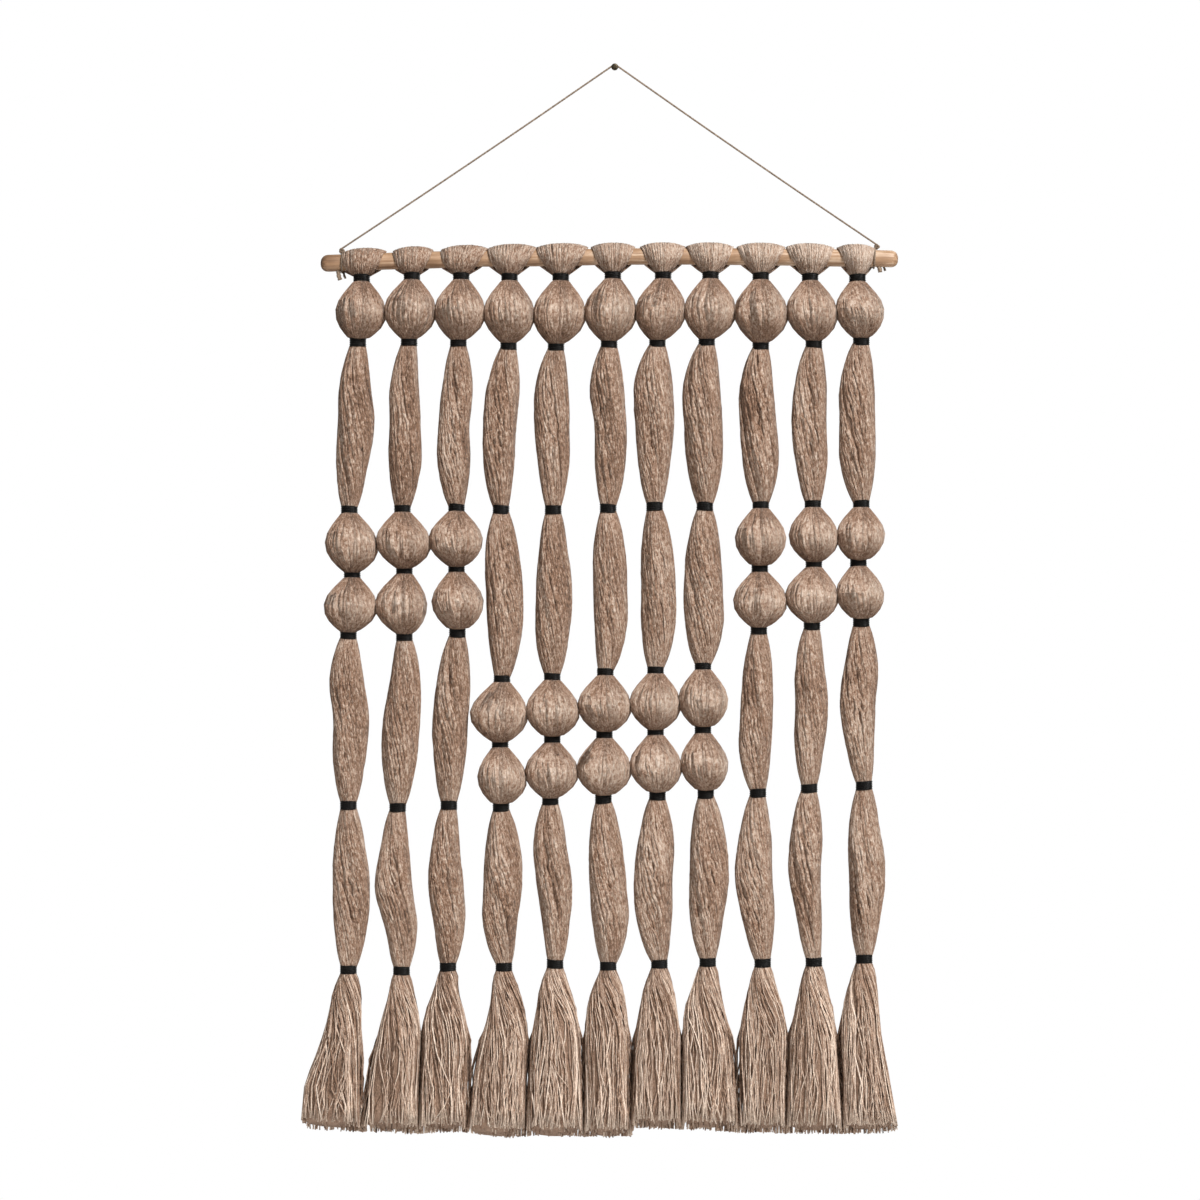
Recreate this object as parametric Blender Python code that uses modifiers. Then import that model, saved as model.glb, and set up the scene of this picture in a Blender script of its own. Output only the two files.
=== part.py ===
"""Macrame wall hanging on a wooden rod.

Eleven hanks of jute yarn are folded over the rod.  Black cord binds each hank seven times, into
balls and long slack lengths, and the yarn below the last binding is cut as a tassel.  A twine
tied round both ends of the rod hangs from one nail.

Frame: the origin is on the flat rear end of the nail, +X right, +Y into the wall, +Z up.
The constants and tables are in millimetres; the meshes are in metres.
"""

import math
from collections import namedtuple

import bmesh
import bpy
from mathutils import Vector

MM = 0.001
CLEARANCE = 0.3

# The rod, its ends rounded, hangs a little higher on the right.
ROD_LENGTH = 609
ROD_RADIUS = 8
ROD_SIDES = 16
ROD_CENTRE = Vector((-5.7, -19, -204.4))
ROD_TILT = math.radians(0.49)
ROD_END_ROUNDING = 5.5

# The nail: a shank out of the wall and a round head.
NAIL_SHANK_RADIUS = 1.6
NAIL_SHANK_LENGTH = 12.5
NAIL_HEAD_RADIUS = 3.7
NAIL_HEAD_THICKNESS = 1.4
NAIL_SIDES = 12

# The twine: from the knot on the left, over the nail, to the knot on the right.
TWINE_RADIUS = 1.0
TWINE_DEPTH = -8
TWINE_OVER_NAIL = NAIL_SHANK_RADIUS + TWINE_RADIUS + CLEARANCE
TWINE_SAG = 1.0
TWINE_NEAR_NAIL = 0.97
TWINE_STEPS_PER_SPAN = 3

# Each end of the twine: the turn round the rod, the lump of the knot on it, and the loose tail.
Knot = namedtuple("Knot", "name turn_x lump_x lump_z lump_radius tail_radius tail")
KNOTS = (
    Knot("knot_left", -290, -289.3, -193.6, 3.4, 1.9,
         ((-290.4, -20.5, -216.6), (-290.2, -22, -220.5), (-288.6, -22, -226.5))),
    Knot("knot_right", 279, 279.0, -190.4, 3.4, 1.1,
         ((279.2, -20.5, -211.4), (280.2, -22, -214.5), (280.6, -22, -218.5))),
)
TURN_RADIUS = 1.1
TURN_CLEARANCE = 0.65
TURN_STEPS = 12

# Bindings of black cord: a ring with domed edges round a hank drawn in to its waist.
BIND_RADIUS = 9.0
BIND_HALF_HEIGHT = 4.75
BIND_EDGE = 0.55
WAIST = 7.2
WAIST_CLEARANCE = 0.35
HANK_DEPTH = -19

# Yarn folded over the rod: its inner radius, thickness, and how it narrows to the first binding.
LOOP_INNER = ROD_RADIUS + 0.8
LOOP_THICKNESS = 7.5
LOOP_AT_AXIS = 0.8
LOOP_STATIONS = 9
FLARE_HALF_WIDTH = 12.5
FLARE_THICKNESS = 7.8
FLARE_AT = 0.3

# Balls stand out from the wall by their own half depth; slack lengths are a little flattened.
BALL_OUT = 7.0
BALL_RINGS = (0.16, 0.38, 0.62, 0.84)
LONG_FLATNESS = 0.84
LONG_RINGS = (0.1, 0.33, 0.62, 0.9)
SHOULDER = 1.8
SIDES = 8

# Tassels: a bound head, then three-sided locks of yarn that spread to the hem.
HEAD_SHOULDER = (14, 12.5)
HEAD_RIM = (38, 17.5)
HEAD_FLATNESS = 0.86
CORE_SHARE = 0.5
LOCK_SHARE = 0.85
LOCK_BEND = 0.5
LOCK_BEND_SPREAD = 0.68
HEM_HALF_DEPTH = 18.5
HEM_DEPTH = -21

# One row for each length of a hank, from the rod down.  x and z place the binding at its top;
# left and right are half widths either side of the line from binding to binding, and a long
# length has them at a quarter (high), half (mid) and three quarters (low) of its height.
Ball = namedtuple("Ball", "x z left right")
Long = namedtuple("Long", "x z left_high left_mid left_low right_high right_mid right_low")
Tassel = namedtuple("Tassel", "x z hem_left hem_right hem_z")
Hank = namedtuple("Hank", "loop_left loop_right lengths")
HANKS = (
    Hank(-287, -241, (
        Ball(-267, -225, 24, 26),
        Long(-271, -292, 17, 17, 16, 15, 21, 16),
        Ball(-280, -469, 26, 27),
        Ball(-277, -537, 26.5, 27),
        Long(-281, -600, 20, 16, 16, 15, 21, 17),
        Long(-281, -780, 15, 17, 15, 17, 22, 19),
        Tassel(-281, -953, -332, -268, -1118))),
    Hank(-233, -192, (
        Ball(-214, -223, 26, 25.5),
        Long(-217, -291, 18, 17, 16, 11, 15, 17),
        Ball(-224, -468, 27.5, 27),
        Ball(-222, -533, 29.5, 23.5),
        Long(-222, -602, 13, 19, 18, 18, 19, 17),
        Long(-229, -782, 19, 26, 16, 10, 13, 17),
        Tassel(-225, -954, -268, -207, -1120))),
    Hank(-182, -134, (
        Ball(-162, -223, 25.5, 25.5),
        Long(-165, -292, 16, 20, 20, 15, 12, 13),
        Ball(-167, -467, 27.5, 27),
        Ball(-167, -531, 25.5, 27.5),
        Long(-166, -598, 19, 22, 18, 15, 15, 14),
        Long(-175, -780, 18, 21, 15, 11, 15, 17),
        Tassel(-176, -950, -207, -157, -1120))),
    Hank(-133, -83, (
        Ball(-111, -224, 25.5, 25.5),
        Long(-112, -295, 21, 23, 20, 13, 11, 11),
        Long(-120, -468, 17, 16, 14, 18, 22, 20),
        Ball(-119, -647, 32, 26.5),
        Ball(-121, -716, 23.5, 26),
        Long(-120, -782, 17, 20, 21, 19, 20, 14),
        Tassel(-117, -950, -157, -94, -1127))),
    Hank(-82, -29, (
        Ball(-57, -224, 25.5, 27),
        Long(-62, -296, 21, 21, 16, 13, 15, 15),
        Long(-65, -468, 15, 18, 18, 15, 20, 17),
        Ball(-66, -645, 26.5, 27),
        Ball(-66, -711, 26.5, 27),
        Long(-68, -775, 19, 17, 12, 15, 20, 16),
        Tassel(-63, -947, -94, -33, -1127))),
    Hank(-24, 20, (
        Ball(-2, -222, 27, 25.5),
        Long(-6, -293, 20, 15, 14, 15, 18, 17),
        Long(-7, -467, 15, 14, 12, 18, 21, 21),
        Ball(-10, -640, 27.5, 26),
        Ball(-11, -706, 27.5, 27),
        Long(-12, -773, 16, 17, 15, 17, 21, 22),
        Tassel(-7, -949, -33, 16, -1127))),
    Hank(28, 73, (
        Ball(51, -222, 25.5, 25),
        Long(45, -292, 24, 22, 18, 16, 18, 15),
        Long(42, -465, 14, 15, 15, 18, 21, 20),
        Ball(43, -638, 26.5, 24.5),
        Ball(43, -703, 27.5, 25),
        Long(45, -770, 20, 26, 23, 16, 14, 13),
        Tassel(47, -947, 16, 70, -1117))),
    Hank(76, 124, (
        Ball(101, -222, 25, 27),
        Long(97, -291, 24, 23, 19, 14, 17, 17),
        Long(95, -465, 18, 21, 19, 16, 19, 20),
        Ball(93, -634, 25, 25.5),
        Ball(93, -701, 25, 24),
        Long(96, -768, 16, 18, 18, 20, 23, 16),
        Tassel(98, -945, 70, 131, -1118))),
    Hank(130, 179, (
        Ball(154, -223, 27, 26.5),
        Long(154, -295, 22, 22, 19, 13, 16, 18),
        Ball(154, -464, 26, 26),
        Ball(153, -531, 27, 27.5),
        Long(152, -595, 16, 19, 20, 14, 15, 13),
        Long(151, -767, 21, 27, 20, 12, 12, 13),
        Tassel(156, -946, 131, 180, -1119))),
    Hank(181, 230, (
        Ball(206, -224, 26.5, 24.5),
        Long(210, -293, 20, 23, 18, 13, 13, 14),
        Ball(209, -463, 25.5, 24.3),
        Ball(210, -526, 28.5, 24.5),
        Long(208, -590, 17, 16, 16, 13, 18, 14),
        Long(205, -762, 20, 24, 17, 12, 9, 9),
        Tassel(210, -945, 180, 240, -1121))),
    Hank(235, 274, (
        Ball(256, -225, 24.5, 24.5),
        Long(260, -290, 22, 23, 22, 13, 14, 14),
        Ball(260, -463, 24.2, 25),
        Ball(257, -525, 24.5, 24),
        Long(260, -587, 18, 24, 19, 16, 13, 11),
        Long(263, -759, 16, 16, 15, 16, 22, 17),
        Tassel(263, -942, 240, 299, -1120))),
)

# Bindings whose ring is a piece of its own, counted from the rod; the rest are ridges of the hank.
SEPARATE_BINDINGS = (0, 1, 6)


# ---------------------------------------------------------------- materials

def material(name, colour, roughness, metallic=0.0):
    mat = bpy.data.materials.new(name)
    mat.use_nodes = True
    shader = mat.node_tree.nodes["Principled BSDF"]
    shader.inputs["Base Color"].default_value = (*colour, 1.0)
    shader.inputs["Roughness"].default_value = roughness
    shader.inputs["Metallic"].default_value = metallic
    mat.diffuse_color = (*colour, 1.0)
    return mat


def make_materials():
    return {
        "jute": material("jute_yarn", (0.42, 0.30, 0.21), 0.9),
        "cord": material("black_cord", (0.012, 0.011, 0.010), 0.55),
        "wood": material("pale_wood", (0.56, 0.38, 0.22), 0.55),
        "steel": material("dark_steel", (0.10, 0.09, 0.08), 0.4, 1.0),
        "twine": material("jute_twine", (0.36, 0.25, 0.16), 0.9),
    }


# ---------------------------------------------------------------- helpers

def collection(name):
    group = bpy.data.collections.new(name)
    bpy.context.scene.collection.children.link(group)
    return group


def add_object(name, data, mat, group, parent):
    obj = bpy.data.objects.new(name, data)
    if not data.materials:
        data.materials.append(mat)
    group.objects.link(obj)
    obj.parent = parent
    return obj


def mesh_from(bm, name):
    """Close up a bmesh built in millimetres: faces outward, in metres."""
    bmesh.ops.recalc_face_normals(bm, faces=bm.faces)
    bmesh.ops.scale(bm, vec=(MM, MM, MM), verts=bm.verts)
    mesh = bpy.data.meshes.new(name)
    bm.to_mesh(mesh)
    bm.free()
    return mesh


def smooth_through(points, t):
    """The value at t of a smooth curve through (place, value) points, steep at both ends."""
    places = [place for place, _ in points]
    values = [value for _, value in points]
    last = len(points) - 1
    i = min(sum(t >= place for place in places[1:last]), last - 1)
    span = places[i + 1] - places[i]
    rise = values[i + 1] - values[i]
    slope_in = SHOULDER * rise if i == 0 else (values[i + 1] - values[i - 1]) / 2
    slope_out = SHOULDER * rise if i == last - 1 else (values[i + 2] - values[i]) / 2
    u = (t - places[i]) / span
    return (values[i] + rise * u * u * (3 - 2 * u)
            + slope_in * u * (1 - u) ** 2 - slope_out * u * u * (1 - u))


def ring(centre, left, right, depth):
    """Eight corners of an oval round a point, anticlockwise from +X as seen from above."""
    corners = []
    for k in range(SIDES):
        angle = math.tau * k / SIDES
        side = right if math.cos(angle) > 0 else left
        corners.append(centre + Vector((side * math.cos(angle), depth * math.sin(angle), 0)))
    return corners


def add_ring(bm, corners):
    return [bm.verts.new(corner) for corner in corners]


def skin(bm, rings):
    """Quads between each closed ring and the next."""
    for upper, lower in zip(rings, rings[1:]):
        for k in range(len(upper)):
            j = (k + 1) % len(upper)
            bm.faces.new((upper[k], upper[j], lower[j], lower[k]))


# ---------------------------------------------------------------- hanks

def binding_centre(length):
    return Vector((length.x, HANK_DEPTH, length.z))


def half_widths(length, t):
    """Left and right half widths of a ball or long length at a share t of its height."""
    if isinstance(length, Ball):
        swell = math.sin(math.pi * t)
        return tuple(WAIST + (side - WAIST) * swell for side in (length.left, length.right))
    left = (length.left_high, length.left_mid, length.left_low)
    right = (length.right_high, length.right_mid, length.right_low)
    return tuple(
        smooth_through(((0, WAIST), (0.25, high), (0.5, mid), (0.75, low), (1, WAIST)), t)
        for high, mid, low in (left, right))


def length_rings(length, below):
    """The rings of one length, between its own binding and the next one below."""
    top, bottom = binding_centre(length), binding_centre(below)
    is_ball = isinstance(length, Ball)
    rings = []
    for t in BALL_RINGS if is_ball else LONG_RINGS:
        left, right = half_widths(length, t)
        centre = top.lerp(bottom, t)
        depth = (left + right) / 2
        if is_ball:
            centre.y -= BALL_OUT * math.sin(math.pi * t)
            depth = min(depth, -centre.y - CLEARANCE)
        else:
            depth *= LONG_FLATNESS
        rings.append(ring(centre, left, right, depth))
    return rings


def waist_rings(centre, upper, lower):
    """The plain waist of a hank, from a height above its binding's centre to one below."""
    return [ring(centre + Vector((0, 0, height)), WAIST, WAIST, WAIST)
            for height in (upper, lower)]


def ridge_rings(centre):
    """A binding that is a raised ridge of the hank itself."""
    profile = (
        (BIND_HALF_HEIGHT, WAIST + CLEARANCE),
        (BIND_HALF_HEIGHT - BIND_EDGE, BIND_RADIUS),
        (BIND_EDGE - BIND_HALF_HEIGHT, BIND_RADIUS),
        (-BIND_HALF_HEIGHT, WAIST + CLEARANCE),
    )
    return [ring(centre + Vector((0, 0, z)), r, r, r) for z, r in profile]


def rod_axis(x):
    """The point of the rod's axis above or below a place x."""
    return ROD_CENTRE + Vector((x - ROD_CENTRE.x, 0, (x - ROD_CENTRE.x) * math.tan(ROD_TILT)))


def loop_sections(hank):
    """Half-oval sections of the yarn from the front of the first binding over the rod to the back.

    Each section is five corners from right to left; its flat side faces the rod.
    """
    bound = binding_centre(hank.lengths[0])
    crotch = bound + Vector((0, 0, BIND_HALF_HEIGHT + CLEARANCE))
    middle = (hank.loop_left + hank.loop_right) / 2
    axis = rod_axis(middle)
    up = Vector((-math.sin(ROD_TILT), 0, math.cos(ROD_TILT)))
    along = Vector((math.cos(ROD_TILT), 0, math.sin(ROD_TILT)))
    front = Vector((0, -1, 0))
    first_angle = math.acos(LOOP_INNER / (axis.z - crotch.z))

    def section(centre, width, thickness, outward):
        corners = []
        for k in range(5):
            angle = math.pi * k / 4
            corners.append(centre + along * (width * math.cos(angle))
                           + outward * (thickness * math.sin(angle)))
        return corners

    sections = []
    for k in range(LOOP_STATIONS):
        angle = first_angle + (math.tau - 2 * first_angle) * k / (LOOP_STATIONS - 1)
        outward = front * math.sin(angle) - up * math.cos(angle)
        lift = -math.cos(angle)
        centre = axis + outward * LOOP_INNER
        centre.x += (bound.x - middle) * max(0.0, -lift)
        width = (hank.loop_right - hank.loop_left) / 2
        width *= LOOP_AT_AXIS + (1 - LOOP_AT_AXIS) * lift
        sections.append(section(centre, width, LOOP_THICKNESS, outward))
    flares = []
    for side, near in ((front, sections[0]), (-front, sections[-1])):
        inner = (near[0] + near[-1]) / 2
        flares.append(section(crotch.lerp(inner, FLARE_AT), FLARE_HALF_WIDTH,
                              FLARE_THICKNESS, side))
    return [flares[0], *sections, flares[1]]


def add_loop(bm, hank, top_ring):
    """The two legs of yarn that part above the first binding and meet over the rod."""
    right, left = 0, SIDES // 2
    front = [top_ring[k % SIDES] for k in range(SIDES, left - 1, -1)]
    back = [top_ring[k] for k in range(right, left + 1)]
    middle = [add_ring(bm, corners) for corners in loop_sections(hank)]
    skin(bm, [front, *middle, back])


def hank_mesh(name, hank):
    """One hank: from the loop over the rod down to its seventh binding."""
    ends = BIND_HALF_HEIGHT + CLEARANCE
    rings = []
    for i, (length, below) in enumerate(zip(hank.lengths, hank.lengths[1:])):
        centre = binding_centre(length)
        rings += waist_rings(centre, ends, -ends) if i in SEPARATE_BINDINGS else ridge_rings(centre)
        rings += length_rings(length, below)
    rings += waist_rings(binding_centre(hank.lengths[-1]), ends, CLEARANCE / 2)
    bm = bmesh.new()
    rows = [add_ring(bm, corners) for corners in rings]
    skin(bm, rows)
    bm.faces.new(rows[-1])
    add_loop(bm, hank, rows[0])
    return mesh_from(bm, name)


# ---------------------------------------------------------------- tassels

def lock_cells(bm, rim, centre):
    """Sixteen three-cornered cells that share out the lower face of a tassel's head."""
    hub = bm.verts.new(centre)
    core = [bm.verts.new(centre.lerp(rim[k].co, CORE_SHARE)) for k in range(0, SIDES, 2)]
    cells = [(core[k], core[(k + 1) % 4], hub) for k in range(4)]
    for k in range(SIDES):
        near = core[(k + 1) // 2 % 4]
        cells.append((rim[k], rim[(k + 1) % SIDES], near))
        if k % 2:
            cells.append((rim[k], near, core[k // 2]))
    return cells


def tassel_mesh(name, tassel):
    """A bound head of yarn whose lower face is parted into locks, each drawn down to the hem."""
    bound = binding_centre(tassel)
    height = bound.z - tassel.hem_z
    hem_middle = (tassel.hem_left + tassel.hem_right) / 2
    hem_half = (tassel.hem_right - tassel.hem_left) / 2
    rim_drop, rim_half = HEAD_RIM
    neck = BIND_HALF_HEIGHT + CLEARANCE

    def axis(drop):
        share = max(0.0, drop - neck) / (height - neck)
        return Vector((bound.x + (hem_middle - bound.x) * share,
                       bound.y + (HEM_DEPTH - bound.y) * share, bound.z - drop))

    def lower(corner, drop, spread):
        """Where a corner at the rim's level comes to at a lower level of the tassel."""
        away = corner - axis(rim_drop)
        across = 1 + (hem_half / rim_half - 1) * spread
        deep = 1 + (HEM_HALF_DEPTH / (rim_half * HEAD_FLATNESS) - 1) * spread
        return axis(drop) + Vector((away.x * across, away.y * deep, 0))

    bm = bmesh.new()
    rows = []
    for drop, half in ((CLEARANCE / 2, WAIST), (neck, WAIST), HEAD_SHOULDER, HEAD_RIM):
        depth = half if half == WAIST else half * HEAD_FLATNESS
        rows.append(add_ring(bm, ring(axis(drop), half, half, depth)))
    skin(bm, rows)
    bm.faces.new(rows[0])
    bend = rim_drop + (height - rim_drop) * LOCK_BEND
    for cell in lock_cells(bm, rows[-1], axis(rim_drop)):
        middle = sum((vert.co for vert in cell), Vector()) / 3
        root = [middle.lerp(vert.co, LOCK_SHARE) for vert in cell]
        levels = [root]
        for drop, spread in ((bend, LOCK_BEND_SPREAD), (height, 1.0)):
            levels.append([lower(corner, drop, spread) for corner in root])
        lock = [cell] + [add_ring(bm, corners) for corners in levels]
        skin(bm, lock)
        bm.faces.new(lock[-1])
    return mesh_from(bm, name)


# ---------------------------------------------------------------- rod, nail, bindings and twine

def turned(name, profile, sides, closed, mat, group, parent):
    """A profile of (radius, height) points, down its outer side, turned by a Screw modifier."""
    mesh = bpy.data.meshes.new(name)
    count = len(profile)
    edges = [(k, (k + 1) % count) for k in range(count if closed else count - 1)]
    mesh.from_pydata([(r * MM, 0, z * MM) for r, z in profile], edges, [])
    obj = add_object(name, mesh, mat, group, parent)
    screw = obj.modifiers.new("turn", "SCREW")
    screw.steps = screw.render_steps = sides
    screw.use_merge_vertices = True
    screw.merge_threshold = 0.00001
    return obj


def add_rod(mat, group, parent):
    bm = bmesh.new()
    bmesh.ops.create_cone(bm, cap_ends=True, segments=ROD_SIDES, radius1=ROD_RADIUS,
                          radius2=ROD_RADIUS, depth=ROD_LENGTH)
    rod = add_object("rod", mesh_from(bm, "rod"), mat, group, parent)
    rod.location = ROD_CENTRE * MM
    rod.rotation_euler = (0, math.pi / 2 - ROD_TILT, 0)
    bevel = rod.modifiers.new("rounded ends", "BEVEL")
    bevel.width = ROD_END_ROUNDING * MM
    bevel.segments = 3
    bevel.limit_method = "ANGLE"
    bevel.angle_limit = math.radians(60)


def add_nail(mat, group, parent):
    tip = NAIL_SHANK_LENGTH + NAIL_HEAD_THICKNESS
    profile = (
        (0, tip),
        (NAIL_HEAD_RADIUS * 0.7, tip),
        (NAIL_HEAD_RADIUS, tip - NAIL_HEAD_THICKNESS / 2),
        (NAIL_HEAD_RADIUS, NAIL_SHANK_LENGTH),
        (NAIL_SHANK_RADIUS, NAIL_SHANK_LENGTH),
        (NAIL_SHANK_RADIUS, 0),
        (0, 0),
    )
    nail = turned("nail", profile, NAIL_SIDES, False, mat, group, parent)
    nail.rotation_euler = (math.pi / 2, 0, 0)


def add_bindings(number, hank, mat, group, parent):
    inner = WAIST + WAIST_CLEARANCE
    profile = (
        (inner, BIND_HALF_HEIGHT),
        (BIND_RADIUS, BIND_HALF_HEIGHT - BIND_EDGE),
        (BIND_RADIUS, BIND_EDGE - BIND_HALF_HEIGHT),
        (inner, -BIND_HALF_HEIGHT),
    )
    for i in SEPARATE_BINDINGS:
        name = f"binding_{number:02d}_{i + 1}"
        obj = turned(name, profile, SIDES, True, mat, group, parent)
        obj.location = binding_centre(hank.lengths[i]) * MM


def tube(name, points, radius, mat, group, parent):
    """A round tube along points: a POLY curve with filled caps."""
    curve = bpy.data.curves.new(name, "CURVE")
    curve.dimensions = "3D"
    curve.bevel_depth = radius * MM
    curve.bevel_resolution = 2
    curve.use_fill_caps = True
    spline = curve.splines.new("POLY")
    spline.points.add(len(points) - 1)
    for spline_point, point in zip(spline.points, points):
        spline_point.co = (*(point * MM), 1)
    return add_object(name, curve, mat, group, parent)


def curve_through(points, steps):
    """Points of a smooth curve through a route's own points (centripetal Catmull-Rom)."""
    padded = [2 * points[0] - points[1], *points, 2 * points[-1] - points[-2]]
    result = []
    for p0, p1, p2, p3 in zip(padded, padded[1:], padded[2:], padded[3:]):
        knots = [0.0]
        for a, b in ((p0, p1), (p1, p2), (p2, p3)):
            knots.append(knots[-1] + math.sqrt((b - a).length))
        t0, t1, t2, t3 = knots
        for step in range(steps):
            t = t1 + (t2 - t1) * step / steps
            a1 = p0.lerp(p1, (t - t0) / (t1 - t0))
            a2 = p1.lerp(p2, (t - t1) / (t2 - t1))
            a3 = p2.lerp(p3, (t - t2) / (t3 - t2))
            b1 = a1.lerp(a2, (t - t0) / (t2 - t0))
            b2 = a2.lerp(a3, (t - t1) / (t3 - t1))
            result.append(b1.lerp(b2, (t - t1) / (t2 - t1)))
    return [*result, points[-1]]


def knot_lump(knot):
    return Vector((knot.lump_x, ROD_CENTRE.y, knot.lump_z))


def twine_leg(knot):
    """Route points of one leg, from the knot's lump up to where the twine meets the nail."""
    lump = knot_lump(knot)
    over = Vector((0, TWINE_DEPTH, 0))
    slope = math.atan2(over.z - lump.z, abs(lump.x))
    side = math.copysign(1.0, lump.x)
    contact = over + TWINE_OVER_NAIL * Vector((side * math.sin(slope), 0, math.cos(slope)))
    start = lump + (contact - lump).normalized() * (knot.lump_radius + CLEARANCE)
    sag = Vector((0, 0, -TWINE_SAG))
    return [start, start.lerp(contact, 1 / 3) + sag, start.lerp(contact, 2 / 3) + sag,
            start.lerp(contact, TWINE_NEAR_NAIL), contact]


def add_hanger(mat, group, parent):
    left, right = (twine_leg(knot) for knot in KNOTS)
    top = Vector((0, TWINE_DEPTH, TWINE_OVER_NAIL))
    route = [*left, top, *reversed(right)]
    points = curve_through(route, TWINE_STEPS_PER_SPAN)
    tube("hanger_twine", points, TWINE_RADIUS, mat, group, parent)


def as_mesh(obj, group):
    """Replace a curve object by a mesh object with its caps welded on."""
    shape = bpy.data.meshes.new_from_object(obj.evaluated_get(bpy.context.evaluated_depsgraph_get()))
    bm = bmesh.new()
    bm.from_mesh(shape)
    bmesh.ops.remove_doubles(bm, verts=bm.verts, dist=0.000001)
    bmesh.ops.recalc_face_normals(bm, faces=bm.faces)
    bm.to_mesh(shape)
    bm.free()
    solid = bpy.data.objects.new(obj.name + "_solid", shape)
    solid.matrix_world = obj.matrix_world
    group.objects.link(solid)
    bpy.data.objects.remove(obj)
    return solid


def lump_mesh(name, radius):
    bm = bmesh.new()
    bmesh.ops.create_icosphere(bm, subdivisions=2, radius=radius)
    return mesh_from(bm, name)


def add_knot(knot, mat, group, cutters, parent):
    """A turn of twine round the rod, joined with the lump of its knot and its loose tail."""
    tube_centre = ROD_RADIUS + TURN_CLEARANCE + TURN_RADIUS
    bpy.ops.mesh.primitive_torus_add(major_segments=TURN_STEPS, minor_segments=6,
                                     major_radius=tube_centre * MM, minor_radius=TURN_RADIUS * MM)
    turn = bpy.context.object
    mesh = turn.data
    bpy.data.objects.remove(turn)
    mesh.name = knot.name
    obj = add_object(knot.name, mesh, mat, group, parent)
    obj.location = rod_axis(knot.turn_x) * MM
    obj.rotation_euler = (0, math.pi / 2 - ROD_TILT, 0)
    lump = bpy.data.objects.new(knot.name + "_lump", lump_mesh(knot.name + "_lump", knot.lump_radius))
    lump.location = knot_lump(knot) * MM
    cutters.objects.link(lump)
    points = [Vector(point) for point in knot.tail]
    tail = as_mesh(tube(knot.name + "_tail", points, knot.tail_radius, mat, cutters, None), cutters)
    for joined in (lump, tail):
        joined.hide_render = True
        joined.display_type = "WIRE"
        union = obj.modifiers.new(joined.name, "BOOLEAN")
        union.operation = "UNION"
        union.solver = "EXACT"
        union.object = joined


# ---------------------------------------------------------------- assembly

def main():
    for obj in list(bpy.data.objects):
        bpy.data.objects.remove(obj)
    group = collection("macrame wall hanging")
    cutters = collection("cutters")
    mats = make_materials()
    root = bpy.data.objects.new("wall_hanging", None)
    group.objects.link(root)
    add_rod(mats["wood"], group, root)
    add_nail(mats["steel"], group, root)
    add_hanger(mats["twine"], group, root)
    for knot in KNOTS:
        add_knot(knot, mats["twine"], group, cutters, root)
    for number, hank in enumerate(HANKS, start=1):
        name = f"hank_{number:02d}"
        add_object(name, hank_mesh(name, hank), mats["jute"], group, root)
        add_bindings(number, hank, mats["cord"], group, root)
        name = f"tassel_{number:02d}"
        add_object(name, tassel_mesh(name, hank.lengths[-1]), mats["jute"], group, root)


main()
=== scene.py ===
"""Looks of the macrame wall hanging: eleven jute hanks bound with black cord on a wooden rod.

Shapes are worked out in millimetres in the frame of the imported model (origin on the rear end of
the nail, +X right, +Y into the wall, +Z up) and go into the meshes in metres.
"""

from collections import namedtuple

import bpy
import numpy as np
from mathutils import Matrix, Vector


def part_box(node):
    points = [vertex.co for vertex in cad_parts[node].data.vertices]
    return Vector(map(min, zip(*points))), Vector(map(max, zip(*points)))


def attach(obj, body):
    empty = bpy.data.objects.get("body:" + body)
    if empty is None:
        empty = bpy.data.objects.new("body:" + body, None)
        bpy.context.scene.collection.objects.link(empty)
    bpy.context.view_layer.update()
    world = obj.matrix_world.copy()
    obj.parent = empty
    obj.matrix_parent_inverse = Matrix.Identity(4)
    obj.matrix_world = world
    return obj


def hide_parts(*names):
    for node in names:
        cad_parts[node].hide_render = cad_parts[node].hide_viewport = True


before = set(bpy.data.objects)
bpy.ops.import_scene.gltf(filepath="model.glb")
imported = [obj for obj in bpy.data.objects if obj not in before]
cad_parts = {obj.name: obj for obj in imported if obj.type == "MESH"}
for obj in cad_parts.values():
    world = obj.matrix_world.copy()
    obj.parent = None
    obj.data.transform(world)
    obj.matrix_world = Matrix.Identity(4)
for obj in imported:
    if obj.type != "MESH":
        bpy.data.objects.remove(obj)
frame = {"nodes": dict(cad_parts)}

bl_info = {
    "name": "Macrame wall hanging",
    "version": (1, 0, 0),
    "blender": (4, 5, 0),
    "location": "3D View > Sidebar > Wall hanging",
    "description": "Jute hanks bound with black cord on a wooden rod, hung from a nail",
    "category": "Add Mesh",
}

TAU = 2 * np.pi
MM = 1000  # millimetres in a metre
BODY = "root"
# Numbers that random draws start from; the yarn's own is a setting.
ROD_SEED = 3
TASSEL_SEED = 7
BINDING_SEED = 23

# ---------------------------------------------------------------- sizes shared with the solids

ROD_RADIUS = 8
ROD_CENTRE = np.array((-5.7, -19, -204.4))
ROD_TILT = np.radians(0.49)
NAIL_SHANK_RADIUS = 1.6
NAIL_SHANK_LENGTH = 12.5
NAIL_HEAD_RADIUS = 3.7
NAIL_HEAD_THICKNESS = 1.4
CLEARANCE = 0.3

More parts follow.
